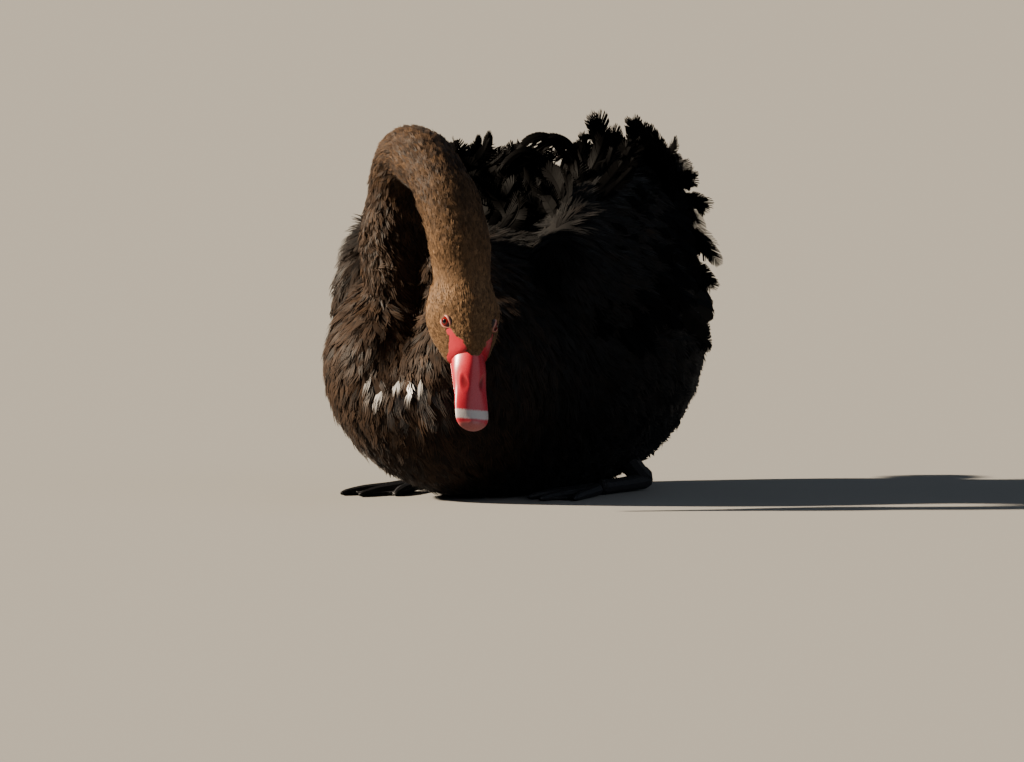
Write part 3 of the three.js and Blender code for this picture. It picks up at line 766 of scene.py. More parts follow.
def tufts(name, line, sizes, strips, places, looks):
    # one object of many tufts, each of a few narrow strips
    centre, ahead, up, side = (part[:, None, :, None] for part in line)
    count, _, rows, _, _ = centre.shape
    t = np.linspace(0, 1, rows)
    along = t[None, None, :, None]
    mid = ((2 * np.arange(strips) + 1) / strips - 1)[None, :, None, None]
    edge = np.array((-1.0, 1.0)) / strips
    parted = np.clip((along - tuftSet["parts"]) / (1 - tuftSet["parts"]), 0, 1)
    width, length, camber = (sizes[key][:, None, None, None] for key in ("width", "length", "camber"))
    half = np.interp(t, tuftSet["at"], tuftSet["breadth"])[None, None, :, None] * width / 2
    stray, raised, short = rng.normal(0, 1, (3, count, strips, 1, 1))
    spread = mid * (1 + tuftSet["spread"] * parted) + edge * (1 - tuftSet["narrow"] * parted**2)
    across = half * (spread + tuftSet["stray"] * stray * parted)
    back = (tuftSet["back"] * mid**2 + tuftSet["short"] * np.abs(short)) * along * length
    high = tuftSet["rise"] * width * raised * parted - camber * mid**2 * half
    points = centre + side * across[..., None] - ahead * back[..., None] + up * high[..., None]
    points = points.reshape(-1, 3)
    points[:, 2] = np.maximum(points[:, 2], lowestFeather)
    faces = copies(gridFaces(rows, 2), count * strips, 2 * rows)
    obj = meshFrom(name, points, faces, coatPlumage)
    u = (mid[0] + edge + 1) / 2 + 0 * along[0]
    uv = np.stack([u, along[0] + 0 * u], -1).reshape(-1, 2)
    addUv(obj, "OFBake", (places[:, None] + tuftSet["patch"] * (uv - 0.5)).reshape(-1, 2))
    addUv(obj, "Vane", np.tile(uv, (count, 1)))
    addValue(obj, "tint", np.repeat(sizes["phase"], len(uv)))
    for key, value in looks.items():
        addValue(obj, key, np.repeat(value, len(uv)))
    print(name, count, "tufts", 2 * len(faces), "triangles")
    return obj


def plumes(name, line, sizes, material, warm):
    # one object of large vanes, each a shaft with barbs on both sides
    centre, ahead, up, side = line
    count, rows, _ = centre.shape
    t = np.linspace(0, 1, rows)
    ragged = sizes["ragged"][:, None, None]
    spot = (t * rng.uniform(*barbSet["gaps"], (count, 2, 1)) + rng.random((count, 2, 1))).astype(int)
    turn, lift, cut = (np.take_along_axis(rng.normal(0, 1, (count, 2, 8)), spot, 2) for _ in range(3))
    angle = np.interp(t, barbSet["angleAt"], barbSet["angle"]) + barbSet["part"] * ragged * turn
    angle = np.radians(angle + rng.normal(0, barbSet["vary"], angle.shape))
    half = np.interp(t, barbSet["reachAt"], barbSet["reach"]) * sizes["width"][:, None, None] / 2
    short = ragged * np.abs(cut) * barbSet["cut"] + barbSet["uneven"] * rng.random(half.shape)
    reach = half * (1 - short) / np.cos(np.minimum(angle, barbSet["steepest"]))
    sign = np.array((-1.0, 1.0))[None, :, None, None]
    outward = sign * side[:, None] * np.cos(angle)[..., None] + ahead[:, None] * np.sin(angle)[..., None]
    u = np.array(barbSet["out"])[:, None, None]
    breadth = (sizes["length"] / rows)[:, None, None, None, None, None]
    breadth = breadth * np.array(barbSet["breadth"])[:, None, None]
    edge = np.array((-0.5, 0.5))[:, None]
    fall = sizes["camber"][:, None, None] - barbSet["lift"] * ragged * lift
    barbs = (
        centre[:, None, :, None, None]
        + (outward * reach[..., None])[:, :, :, None, None] * u
        - (up[:, None] * (fall * reach)[..., None])[:, :, :, None, None] * u**2
        - sign[..., None, None] * ahead[:, None, :, None, None] * breadth * edge
    )
    thin = np.linspace(*barbSet["shaft"], rows)[None, :, None, None] * np.array((-1.0, 1.0))[:, None]
    shaft = centre[:, :, None] + barbSet["proud"] * up[:, :, None] + side[:, :, None] * thin
    points = np.vstack([barbs.reshape(-1, 3), shaft.reshape(-1, 3)])
    points[:, 2] = np.maximum(points[:, 2], lowestFeather)
    barbFaces = copies(gridFaces(3, 2), count * 2 * rows, 6)
    shaftFaces = copies(gridFaces(rows, 2), count, 2 * rows)
    faces = np.vstack([barbFaces, shaftFaces + barbs.size // 3])
    obj = meshFrom(name, points, faces, material)
    barbU = 0.5 + 0.5 * sign[0][..., None] * u[..., 0]
    barbUv = np.stack(np.broadcast_arrays(barbU, t[None, :, None, None] + 0 * edge[:, 0]), -1).reshape(-1, 2)
    shaftUv = np.stack([0.5 + 0 * np.repeat(t, 2), np.repeat(t, 2)], -1)
    uv = np.vstack([np.tile(part, (count, 1)) for part in (barbUv, shaftUv)])
    owner = np.concatenate([np.repeat(np.arange(count), len(part)) for part in (barbUv, shaftUv)])
    # each vane's patch is a place of its own, in rows on the bake's square
    perRow = math.ceil(math.sqrt(count))
    places = np.stack([(owner % perRow + 0.5) / perRow, (owner // perRow + 0.5) / perRow], 1)
    addUv(obj, "OFBake", places + barbSet["patch"] / perRow * (uv - 0.5))
    addUv(obj, "Vane", uv)
    addValue(obj, "tint", sizes["phase"][owner])
    addValue(obj, "warm", warm[owner])
    print(name, count, "vanes", 2 * len(faces), "triangles")
    return obj


def drawn(count, ranges):
    # arrays of sizes, each drawn evenly from its range
    sizes = {key: rng.uniform(low, high, count) for key, (low, high) in ranges.items()}
    for key in ("lift", "curl", "roll", "sweep", "camber", "ragged"):
        sizes.setdefault(key, np.zeros(count))
    sizes["phase"] = rng.random(count)
    return sizes


wingColors = {"Dark": (0.0013, 0.0012, 0.0012, 1), "Pale": (0.0065, 0.0056, 0.0052, 1)}
whiteColors = {"Dark": (0.45, 0.44, 0.42, 1), "Pale": (0.75, 0.74, 0.71, 1)}
coatPlumage = plumage("coatPlumage", {"Edge": 0.35, "Barbs": 40.0, "Tone": 0.45}, 0.1, 0.15, 0.16)
wingPlumage = plumage("wingPlumage", {"Edge": 0.3, "Barbs": 0.0, "Tone": 0.25}, 0.0, 0.1, 0.04, wingColors)
whitePlumage = plumage("whitePlumage", {"Edge": 0.4, "Barbs": 0.0, "Tone": 0.3}, 0.1, 0.1, 0.3, whiteColors)
coat = []


def laid(piece, found, sizes):
    # lays a coat's tufts as a few objects, so that none grows too large
    root = found["root"]
    warm = warmth(root, found["kind"], found["path"]) + rng.normal(0, warmSet["vary"], len(root))
    wet = wetness(root) * (rng.random(len(root)) < wetSet["share"])
    looks = {"warm": np.clip(warm, 0, 1), "wet": wet}
    edges = np.linspace(0, len(root), piece["parts"] + 1).astype(int)
    for i in range(piece["parts"]):
        part = slice(edges[i], edges[i + 1])
        size, look, here = ({key: row[part] for key, row in every.items()} for every in (sizes, looks, found))
        line = spine(here["root"], here["way"], here["out"], size, piece["rows"])
        coat.append(tufts(f"{piece['name']}{i + 1}", line, size, piece["strips"], here["place"], look))


headCoat = {
    "name": "coatHead", "parts": 1, "strips": 2, "rows": 4, "tries": 50000, "spacing": 1.3, "wider": 0.9,
    "sizes": {
        "length": (4.4, 6.6), "width": (1.7, 2.5), "lift": (7, 16), "curl": (-24, -4), "roll": (-16, 16),
    },
    "growAt": (-50, -26, 2), "grow": (1.2, 0.8, 0.55), "last": 0.45, "front": 3, "bare": 0.4,
    "lids": 1.2, "clear": 0.98,
}


def nearEye(local):
    # distance from the eyes as a share of the lids' reach
    eye = np.array((-eyeSet["along"], eyeSet["side"], eyeSet["up"]))
    folded = local * (1, 0, 1) + np.abs(local) * (0, 1, 0)
    return np.linalg.norm(folded - eye, axis=1) / (eyeSet["radius"] + headCoat["lids"])


def buildHeadCoat():
    def spacing(kind):
        return headCoat["spacing"] + headCoat["wider"] * kind

    def keep(points, kind):
        local = toHead(points)
        near = (kind < headCoat["last"]) & (local[:, 0] < headCoat["front"])
        return near & (bareShare(local) < headCoat["bare"]) & (nearEye(local) > headCoat["clear"])

    found = scattered(spacing, headCoat["tries"], keep)
    sizes = drawn(len(found["root"]), headCoat["sizes"])
    grow = np.interp(toHead(found["root"])[:, 0], headCoat["growAt"], headCoat["grow"])
    sizes["length"] *= grow
    sizes["width"] *= grow
    laid(headCoat, found, sizes)


neckCoat = {
    "name": "coatNeck", "parts": 3, "strips": 3, "rows": 4, "tries": 80000, "spacing": 1.75, "wider": 1.9,
    "sizes": {"length": (6, 9.5), "width": (2.0, 3.1), "lift": (4, 12), "curl": (-22, 14), "roll": (-28, 28)},
    "first": 0.4, "last": 1.35, "base": 0.95, "growAt": (0.05, 0.2, 0.45, 0.6),
    "grow": (0.75, 0.95, 1.25, 1.9), "rough": (0.35, 0.8, 1.1, 1.5),
    "astray": 13, "camber": 0.2, "sweep": 1.1,
}


def strayed(found, degrees):
    # turns each feather's way a little to one side
    flat = laidFlat(found["way"], found["out"])
    found["way"] = turned(flat, found["out"], np.radians(rng.normal(0, 1, len(flat)) * degrees))


def buildNeckCoat():
    def spacing(kind):
        return neckCoat["spacing"] + neckCoat["wider"] * np.clip(kind - neckCoat["base"], 0, 1)

    def keep(points, kind):
        return (kind >= neckCoat["first"]) & (kind < neckCoat["last"])

    found = scattered(spacing, neckCoat["tries"], keep)
    count = len(found["root"])
    rough = np.interp(found["path"], neckCoat["growAt"], neckCoat["rough"])
    strayed(found, neckCoat["astray"] * rough)
    sizes = drawn(count, neckCoat["sizes"])
    grow = np.interp(found["path"], neckCoat["growAt"], neckCoat["grow"])
    grow *= 1 + 0.5 * np.clip(found["kind"] - neckCoat["base"], 0, 0.5)
    sizes["length"] *= grow
    sizes["width"] *= 0.5 + 0.5 * grow
    sizes["lift"] *= rough
    sizes["roll"] *= rough
    sizes["camber"] = np.full(count, neckCoat["camber"])
    sizes["sweep"] = rng.normal(0, neckCoat["sweep"], count)
    laid(neckCoat, found, sizes)


bodyCoat = {
    "name": "coatBody", "parts": 5, "strips": 5, "rows": 5, "tries": 90000, "spacing": 3.4, "wider": 1.7,
    "sizes": {"length": (17, 26), "width": (6, 9.5), "lift": (3, 11), "curl": (-26, 0), "roll": (-20, 20)},
    "first": 1.25, "low": 6, "growAt": (-230, -60, 120), "grow": (0.8, 1.0, 1.15),
    "astray": 12, "camber": (0.12, 0.26), "sweep": 1.6,
}


def buildBodyCoat():
    def spacing(kind):
        onBody = np.clip(kind - bodyCoat["first"], 0, 2 - bodyCoat["first"]) / (2 - bodyCoat["first"])
        return bodyCoat["spacing"] + bodyCoat["wider"] * onBody

    def keep(points, kind):
        return (kind >= bodyCoat["first"]) & (points[:, 2] > bodyCoat["low"])

    found = scattered(spacing, bodyCoat["tries"], keep)
    count = len(found["root"])
    strayed(found, bodyCoat["astray"])
    sizes = drawn(count, bodyCoat["sizes"])
    grow = 0.6 + 0.4 * np.clip((found["kind"] - 1.3) / 0.6, 0, 1)
    grow *= np.interp(found["root"][:, 1], bodyCoat["growAt"], bodyCoat["grow"])
    sizes["length"] *= grow
    sizes["width"] *= grow
    sizes["camber"] = rng.uniform(*bodyCoat["camber"], count)
    sizes["sweep"] = rng.normal(0, bodyCoat["sweep"], count)
    laid(bodyCoat, found, sizes)


# Curled feathers that stand up over the middle of the back, between the wings
mantle = {
    "count": 240, "x": (-62, 66), "y": (-100, 130), "above": 262, "sunk": 3, "upwards": 0.6, "astray": 0.45,
    "sizes": {"length": (34, 54), "width": (12, 20), "lift": (8, 36), "curl": (10, 110), "roll": (-40, 40)},
    "ragged": (0.12, 0.34), "camber": (0.1, 0.25), "sweep": 8, "rows": 26, "warm": (0, 0.1),
}


def buildMantle():
    count = mantle["count"]
    x = rng.uniform(*mantle["x"], count)
    y = rng.uniform(*mantle["y"], count)
    tree = kdtree.KDTree(len(skinPoints))
    for i, point in enumerate(skinPoints):
        tree.insert(point, i)
    tree.balance()
    near = [tree.find((x[i], y[i], mantle["above"]))[1] for i in range(count)]
    roots = skinPoints[near] - mantle["sunk"] * skinNormals[near]
    outs = skinNormals[near] + np.array((0, 0, mantle["upwards"]))
    outs /= np.linalg.norm(outs, axis=1)[:, None]
    ways = np.stack([rng.normal(0, mantle["astray"], count), np.ones(count), 0 * x], 1)
    sizes = drawn(count, mantle["sizes"])
    sizes["ragged"] = rng.uniform(*mantle["ragged"], count)
    sizes["camber"] = rng.uniform(*mantle["camber"], count)
    sizes["sweep"] = rng.normal(0, mantle["sweep"], count)
    line = spine(roots, ways, outs, sizes, mantle["rows"])
    coat.append(plumes("mantle", line, sizes, wingPlumage, rng.uniform(*mantle["warm"], count)))


# Feathers that stand clear of the others: root, bow, tip and width
crest = [
    ((-72, 77, 248), (-72, 77, 279), (-71, 77, 297), 8),
    ((-67, 81, 248), (-69, 80, 278), (-64, 83, 300), 9),
    ((-62, 79, 250), (-64, 78, 272), (-61, 80, 287), 7),
    ((-74, 71, 248), (-75, 71, 275), (-75, 71, 290), 8),
    ((47, 22, 258), (26, 12, 327), (-1, -1, 282), 9),
    ((50, 32, 258), (40, 22, 318), (14, 8, 288), 8),
    ((51, 37, 257), (38, 31, 307), (24, 25, 282), 8),
    ((37, 4, 255), (17, -6, 308), (-6, -16, 273), 9),
    ((42, 53, 256), (43, 53, 282), (38, 51, 300), 13),
    ((66, 44, 256), (63, 43, 286), (57, 40, 316), 19),
    ((72, 54, 256), (71, 53, 282), (66, 51, 305), 17),
    ((81, 66, 256), (84, 68, 290), (78, 65, 311), 19),
    ((90, 66, 255), (93, 68, 286), (88, 65, 307), 17),
    ((101, 65, 249), (104, 66, 278), (98, 63, 298), 16),
    ((111, 63, 244), (113, 64, 268), (108, 62, 283), 14),
    ((96, 96, 246), (106, 100, 260), (115, 104, 268), 14),
    ((90, 108, 236), (110, 112, 250), (123, 112, 238), 20),
    ((96, 108, 214), (116, 112, 222), (128, 111, 205), 19),
    ((98, 108, 186), (117, 112, 190), (127, 110, 173), 18),
]
crestSet = {
    "copies": 3, "astray": 3, "tipStep": (-2, 4, -5), "bowStep": (0, 4, 0), "rootStep": (0, 5, 0),
    "faces": (0.36, -0.78, 0.5), "turn": 0.22, "sizes": {"ragged": (0.12, 0.3), "camber": (0.05, 0.2)},
    "width": (0.85, 1.1), "rows": 30, "warm": (0, 0.12),
}


def buildCrest():
    # each stands in front of two like it, a little turned
    times = crestSet["copies"]
    count = times * len(crest)
    roots, bows, tips = (np.repeat(np.array([row[i] for row in crest], float), times, 0) for i in range(3))
    step = np.tile(np.arange(times, dtype=float), len(crest))[:, None]
    tips += step * (rng.normal(0, crestSet["astray"], (count, 3)) + crestSet["tipStep"])
    bows += step * (rng.normal(0, crestSet["astray"], (count, 3)) + crestSet["bowStep"])
    roots += step * crestSet["rootStep"]
    faces = np.array(crestSet["faces"]) + rng.normal(0, crestSet["turn"], (count, 3))
    sizes = drawn(count, crestSet["sizes"])
    sizes["width"] = np.repeat([row[3] for row in crest], times) * rng.uniform(*crestSet["width"], count)
    sizes["length"] = np.linalg.norm(bows - roots, axis=1) + np.linalg.norm(tips - bows, axis=1)
    line = bowed(roots, bows, tips, faces, crestSet["rows"])
    coat.append(plumes("crest", line, sizes, wingPlumage, rng.uniform(*crestSet["warm"], count)))


# How far the bill's upper and lower halves round away from their shared edge
billRound = {"top": 0.78, "edge": 0.22}
# Short feathers of the forehead that run down onto the bill in a point
browSet = {
    "count": 1300, "reach": 4.5, "back": -11, "side": 12, "slope": 0.95, "blunt": 0.3, "sunk": 0.2,
    "rise": 0.12, "warm": (0.96, 0.03), "astray": 0.12, "billFrom": -8, "billLong": 68,
    "sizes": {
        "length": (3.0, 4.4), "width": (1.1, 1.6), "lift": (5, 12), "curl": (-16, 4), "roll": (-12, 12),
    },
}


def buildBrow():
    along = rng.uniform(browSet["back"], browSet["reach"], 4 * browSet["count"])
    side = rng.uniform(-browSet["side"], browSet["side"], len(along))
    inside = np.abs(side) < (browSet["reach"] - along) * browSet["slope"] + browSet["blunt"]
    along, side = along[inside][: browSet["count"]], side[inside][: browSet["count"]]
    count = len(along)
    size = upperAt((along - browSet["billFrom"]) / browSet["billLong"])
    across = np.clip(side / size[:, 1], -0.95, 0.95)
    tall = size[:, 2] - size[:, 3]
    up = size[:, 3] + billRound["edge"] * tall + billRound["top"] * tall * np.sqrt(1 - across**2)
    up += browSet["rise"] * np.clip(-2 - along, 0, 9) - browSet["sunk"]
    turn = headFrame[:3, :3].T
    outs = np.stack([0.25 + 0 * along, 0.8 * across, np.sqrt(1 - 0.64 * across**2)], 1) @ turn
    outs /= np.linalg.norm(outs, axis=1)[:, None]
    astray = 0.15 * np.sign(side) + rng.normal(0, browSet["astray"], count)
    ways = np.stack([-np.ones(count), astray, 0 * along], 1) @ turn
    sizes = drawn(count, browSet["sizes"])
    places = np.stack([0.1 + 0.05 * along, 0.5 + 0.03 * side], 1)
    looks = {"warm": np.clip(rng.normal(*browSet["warm"], count), 0, 1), "wet": np.zeros(count)}
    line = spine(fromHead(np.stack([along, side, up], 1)), ways, outs, sizes, 4)
    coat.append(tufts("coatBrow", line, sizes, 2, places, looks))


buildHeadCoat()
buildBrow()
buildNeckCoat()
buildBodyCoat()
buildMantle()
buildCrest()

# Wing feathers, in tiers from the shoulder back: roots, lie, sizes and curl run from first to last
wingTiers = [
    {
        "name": "primaries", "count": 8, "rows": 1, "share": (0.64, 0.78), "angle": (-50, -30),
        "lie": ((-0.32, 1, -0.1), (-0.34, 1, -0.02)), "length": (112, 100), "width": (18, 20),
        "curl": (-10, -6), "ragged": 0.05, "lift": 1, "white": True,
    },
    {
        "name": "secondaries", "count": 13, "rows": 1, "share": (0.4, 0.8), "angle": (-58, 10),
        "lie": ((0, 1, -0.3), (-0.24, 1, -0.08)), "length": (84, 100), "width": (26, 30), "curl": (0, 4),
        "ragged": 0.14, "lift": 5, "white": False,
    },
    {
        "name": "greater coverts", "count": 18, "rows": 3, "share": (0.2, 0.74), "angle": (-40, 50),
        "lie": ((0.02, 1, -0.75), (-0.1, 1, -0.1)), "length": (46, 56), "width": (17, 22), "curl": (0, 14),
        "ragged": 0.18, "lift": 5, "white": False,
    },
    {
        "name": "median coverts", "count": 20, "rows": 4, "share": (0.08, 0.5), "angle": (-36, 70),
        "lie": ((0.06, 0.8, -0.75), (0, 1, -0.15)), "length": (26, 38), "width": (11, 16), "curl": (-12, 4),
        "ragged": 0.16, "lift": 4, "white": False,
    },
    {
        "name": "tertials", "count": 14, "rows": 4, "share": (0.3, 0.86), "angle": (64, 96),
        "lie": ((0, 1, 0.26), (-0.08, 1, 0.08)), "length": (58, 46), "width": (15, 20), "curl": (26, 50),
        "ragged": 0.24, "lift": 7, "white": False,
    },
    {
        "name": "scapulars", "count": 14, "rows": 4, "share": (0.24, 0.76), "angle": (104, 150),
        "lie": ((-0.3, 1, 0.3), (-0.36, 1, 0.2)), "length": (46, 54), "width": (13, 18), "curl": (16, 60),
        "ragged": 0.26, "lift": 8, "white": False,
    },
]
wingSet = {
    "rowStep": 0.07, "uneven": 0.008, "turn": 3, "astray": 8, "sizes": {"roll": (-14, 14)}, "sweep": 3,
    "length": (0.88, 1.12), "width": (0.9, 1.1), "curl": (0.5, 1.5), "lift": (0.7, 1.3), "ragged": (0.5, 1.4),
    "camber": (0.1, 0.2), "farCurl": 0.25, "sunk": 5, "whiteSunk": 8, "rows": 30, "whiteRows": 48,
    "warm": (0, 0.07),
}


def tierRoots(tier, side):
    # roots, ways, outs and sizes of one tier on one wing
    count = tier["count"] * tier["rows"]
    step = np.tile(np.linspace(0, 1, tier["count"]), tier["rows"])
    row = np.repeat(np.linspace(-0.5, 0.5, tier["rows"]) if tier["rows"] > 1 else [0.0], tier["count"])

    def run(pair):
        return pair[0] + (pair[1] - pair[0]) * step

    def varied(key):
        return rng.uniform(*wingSet[key], count)

    share = run(tier["share"]) + wingSet["rowStep"] * row + rng.normal(0, wingSet["uneven"], count)
    share = np.clip(share, 0.02, 0.97)
    spread = 0.5 * abs(tier["angle"][1] - tier["angle"][0])
    angle = np.radians(run(tier["angle"]) + spread * row + rng.normal(0, wingSet["turn"], count))
    roots = wingPoint(share, angle)
    along = wingPoint(share + 0.02, angle) - roots
    around = wingPoint(share, angle + 0.05) - roots
    outs = np.cross(around, along)
    outs /= np.linalg.norm(outs, axis=1)[:, None]
    outs *= np.sign(np.einsum("ij,ij->i", outs, roots - wingAt(share)[:, :3]))[:, None]
    first, last = (np.array(way, float) for way in tier["lie"])
    ways = laidFlat(first + (last - first) * step[:, None], outs)
    ways = turned(ways, outs, np.radians(rng.normal(0, wingSet["astray"], count)))
    sizes = drawn(count, wingSet["sizes"])
    sizes["length"] = run(tier["length"]) * varied("length")
    sizes["width"] = run(tier["width"]) * varied("width")
    sizes["curl"] = run(tier["curl"]) * varied("curl") * (1 if side > 0 else wingSet["farCurl"])
    sizes["lift"] = tier["lift"] * varied("lift")
    sizes["ragged"] = tier["ragged"] * varied("ragged")
    sizes["camber"] = varied("camber")
    sizes["sweep"] = rng.normal(0, wingSet["sweep"], count)
    roots = roots - outs * wingSet["whiteSunk" if tier["white"] else "sunk"]
    flip = np.array((side, 1, 1))
    print(tier["name"], count)
    return roots * flip, ways * flip, outs * flip, sizes


def buildWing(side, label):
    dark = [tierRoots(tier, side) for tier in wingTiers if not tier["white"]]
    white = [tierRoots(tier, side) for tier in wingTiers if tier["white"]]
    kinds = (
        (dark, "", wingPlumage, wingSet["rows"]),
        (white, "Primaries", whitePlumage, wingSet["whiteRows"]),
    )
    pieces = []
    for tiers, name, material, rows in kinds:
        roots, ways, outs = (np.vstack([tier[i] for tier in tiers]) for i in range(3))
        sizes = {key: np.concatenate([tier[3][key] for tier in tiers]) for key in tiers[0][3]}
        line = spine(roots, ways, outs, sizes, rows)
        warm = rng.uniform(*wingSet["warm"], len(roots))
        pieces.append(plumes(f"wing{label}{name}", line, sizes, material, warm))
    return pieces


sides = (("left", 1), ("right", -1))
wings = {side: buildWing(sign, side.capitalize()) for side, sign in sides}

# Tail: two rows of feathers in a fan, highest in the middle
tailSet = {
    "count": 13, "spread": 17, "width": 20, "length": 92, "across": 20, "y": 240, "z": 130, "edgeDrop": 7,
    "rowBack": 22, "rowUp": 6, "rise": (0.05, -0.06, -0.06), "short": (0.34, 0.42), "roll": -16,
    "curl": (0, 7), "sizes": {"ragged": (0.03, 0.12), "camber": (0.08, 0.16)}, "rows": 44, "warm": (0, 0.05),
}


def buildTail():
    count = tailSet["count"] * 2
    off = np.tile(np.linspace(-1, 1, tailSet["count"]), 2)
    row = np.repeat([0, 1], tailSet["count"])
    y = tailSet["y"] - tailSet["rowBack"] * row
    z = tailSet["z"] - tailSet["edgeDrop"] * np.abs(off) + tailSet["rowUp"] * row
    roots = np.stack([tailSet["across"] * off, y, z], 1)
    turn = np.radians(tailSet["spread"] * off)
    level, outer, second = tailSet["rise"]
    ways = np.stack([np.sin(turn), np.cos(turn), level + outer * np.abs(off) + second * row], 1)
    outs = np.tile(np.array((0.0, 0, 1)), (count, 1))
    sizes = drawn(count, tailSet["sizes"])
    sizes["roll"] = tailSet["roll"] * off
    sizes["length"] = tailSet["length"] * (1 - tailSet["short"][0] * off**2) * (1 - tailSet["short"][1] * row)
    sizes["width"] = np.full(count, float(tailSet["width"]))
    sizes["curl"] = rng.uniform(*tailSet["curl"], count)
    line = spine(roots, ways, outs, sizes, tailSet["rows"])
    return plumes("tailVanes", line, sizes, wingPlumage, rng.uniform(*tailSet["warm"], count))


tail = buildTail()

# Skin material: dark down, with the bare red skin by the bill
downSet = {
    "grain": 420.0, "share": 0.5, "rough": 0.85, "smooth": 0.5,
    "red": ((0.66, 0.02, 0.04, 1), (0.8, 0.042, 0.07, 1)),
}


def bareMask(tree):
    # 1 on the bare skin between eye and bill, from the head's own directions, as in bareShare
    along = tree.value("headAlong")
    side = tree.math("ABSOLUTE", tree.value("headSide"))
    up = tree.value("headUp")
    ahead = tree.plus(along, eyeSet["along"] - bareSet["from"])
    forward = tree.math("DIVIDE", ahead, eyeSet["along"] + bareSet["over"])
    top, low = (tree.between(forward, bareSet["at"], bareSet[label]) for label in ("top", "low"))
    brow = tree.least(tree.times(tree.minus(bareSet["point"], along), bareSet["slope"]), bareSet["brow"])
    inside = tree.least(tree.minus(top, up), tree.minus(up, low))
    inside = tree.least(inside, tree.minus(side, brow))
    edge = tree.times(tree.ramp(inside, -0.5, 0.5), tree.ramp(forward, -0.08, -0.04))
    return tree.times(edge, tree.times(tree.ramp(side, 1.6, 2.4), tree.ramp(along, 9.0, 8.0)))


def buildSkinMaterial():
    material, tree, sockets = newMaterial("skinDown", {"Coat Roughness": 0.3, "Specular IOR Level": 0.25})
    bare = tree.times(bareMask(tree), tree.value("onHead"))
    grain = tree.noise(downSet["grain"], 4.0)
    warm = tree.add("ShaderNodeGroup", {"Warm": tree.value("warm")}, node_tree=plumageTone)
    down = tree.mix(tree.times(grain, downSet["share"]), warm.outputs["Dark"], warm.outputs["Pale"])
    tree.link(tree.mix(bare, down, tree.mix(grain, *downSet["red"])), sockets["Base Color"])
    tree.link(tree.minus(downSet["rough"], tree.times(bare, downSet["smooth"])), sockets["Roughness"])
    tree.link(bare, sockets["Coat Weight"])
    tree.link(tree.bump(grain, 0.4, 0.0006), sockets["Normal"])
    return material


skinMesh.materials.clear()
skinMesh.materials.append(buildSkinMaterial())
local = toHead(skinPoints)
for label, values in (("headAlong", local[:, 0]), ("headSide", local[:, 1]), ("headUp", local[:, 2])):
    addValue(skin, label, np.clip(values, -120, 60))
addValue(skin, "onHead", skinKind < 0.5)
addValue(skin, "warm", warmth(skinPoints, skinKind, skinPath))

# Bill: each half is rounded on its outer side, and its sides run hollow to the cutting edge
billSet = {
    "rows": 120, "columns": 96, "rounded": (0.05, 0.14), "end": 0.03, "hollow": 0.07,
    "nostril": (22, 9.6, 2.6), "nostrilSize": (5.5, 2.6, 1.5), "nostrilSlope": 0.21,
    "dent": 0.13, "rim": 0.02, "nailAt": 56, "nail": 0.9, "nailLong": 22, "nailWide": 30,
}
hornSet = {
    "red": ((0.72, 0.02, 0.045, 1), (0.86, 0.045, 0.075, 1)), "cloud": 110.0, "fine": 900.0,
    "bar": (0.82, 0.74, 0.72, 1), "barTop": (44.0, 46.0), "barEnd": (53.5, 51.5),
    "barDip": 0.012, "fray": 2.2,
    "nail": (0.6, 0.3, 0.26, 1), "nailTop": (53.0, 56.0), "nailShare": 0.55,
    # painted shade for the inside of the nostrils, and how much of it falls in their dents
    "nostrilShade": (0.06, 0.006, 0.005, 1), "nostrilShadeShare": 0.6,
}


def billHalf(name, sizesAt, isUpper, material):
    share = 0.5 - 0.5 * np.cos(np.linspace(0, np.pi, billSet["rows"]))
    angle = np.linspace(0, 2 * np.pi, billSet["columns"], endpoint=False)
    size = sizesAt(share)[:, None]
    full = roundedEnds(share, *billSet["rounded"])
    full[0] = full[-1] = billSet["end"]
    full = full[:, None]
    up = np.sin(angle)[None]
    tall = size[..., 2] - size[..., 3]
    rounded = up > 0 if isUpper else up < 0
    waist = size[..., 3] + billRound["edge"] * tall if isUpper else size[..., 2] - billRound["edge"] * tall
    reach = np.where(rounded, billRound["top"], billRound["edge"]) * tall
    x = size[..., 0] + 0 * up
    # the sides fall a little hollow between the ridge and the cutting edge
    waisted = 1 - billSet["hollow"] * np.sin(2 * angle)[None] ** 2 * rounded
    y = size[..., 1] * full * np.cos(angle)[None] * waisted
    z = waist + reach * full * up * waisted
    dent = 0 * y
    if isUpper:
        atX, atY, atZ = billSet["nostril"]
        long, wide, high = billSet["nostrilSize"]
        off = ((x - atX) / long) ** 2 + ((z - atZ + billSet["nostrilSlope"] * (x - atX)) / high) ** 2
        dent = np.exp(-(off**2)) * (rounded & (np.abs((np.abs(y) - atY) / wide) < 2.5))
        rim = np.exp(-((np.sqrt(off) - 1.5) ** 2) / 0.1) * rounded
        y = y * (1 - billSet["dent"] * dent + billSet["rim"] * rim)
        ahead = (x - billSet["nailAt"]) ** 2 / billSet["nailLong"]
        z = z + billSet["nail"] * np.exp(-ahead - y**2 / billSet["nailWide"]) * rounded
    points, faces = tube(np.stack([x, y, z], -1))
    obj = meshFrom(name, fromHead(points), turnedOut(points, faces), material)
    addValue(obj, "along", points[:, 0])
    addValue(obj, "across", points[:, 1])
    addValue(obj, "dent", dent.ravel())
    return obj


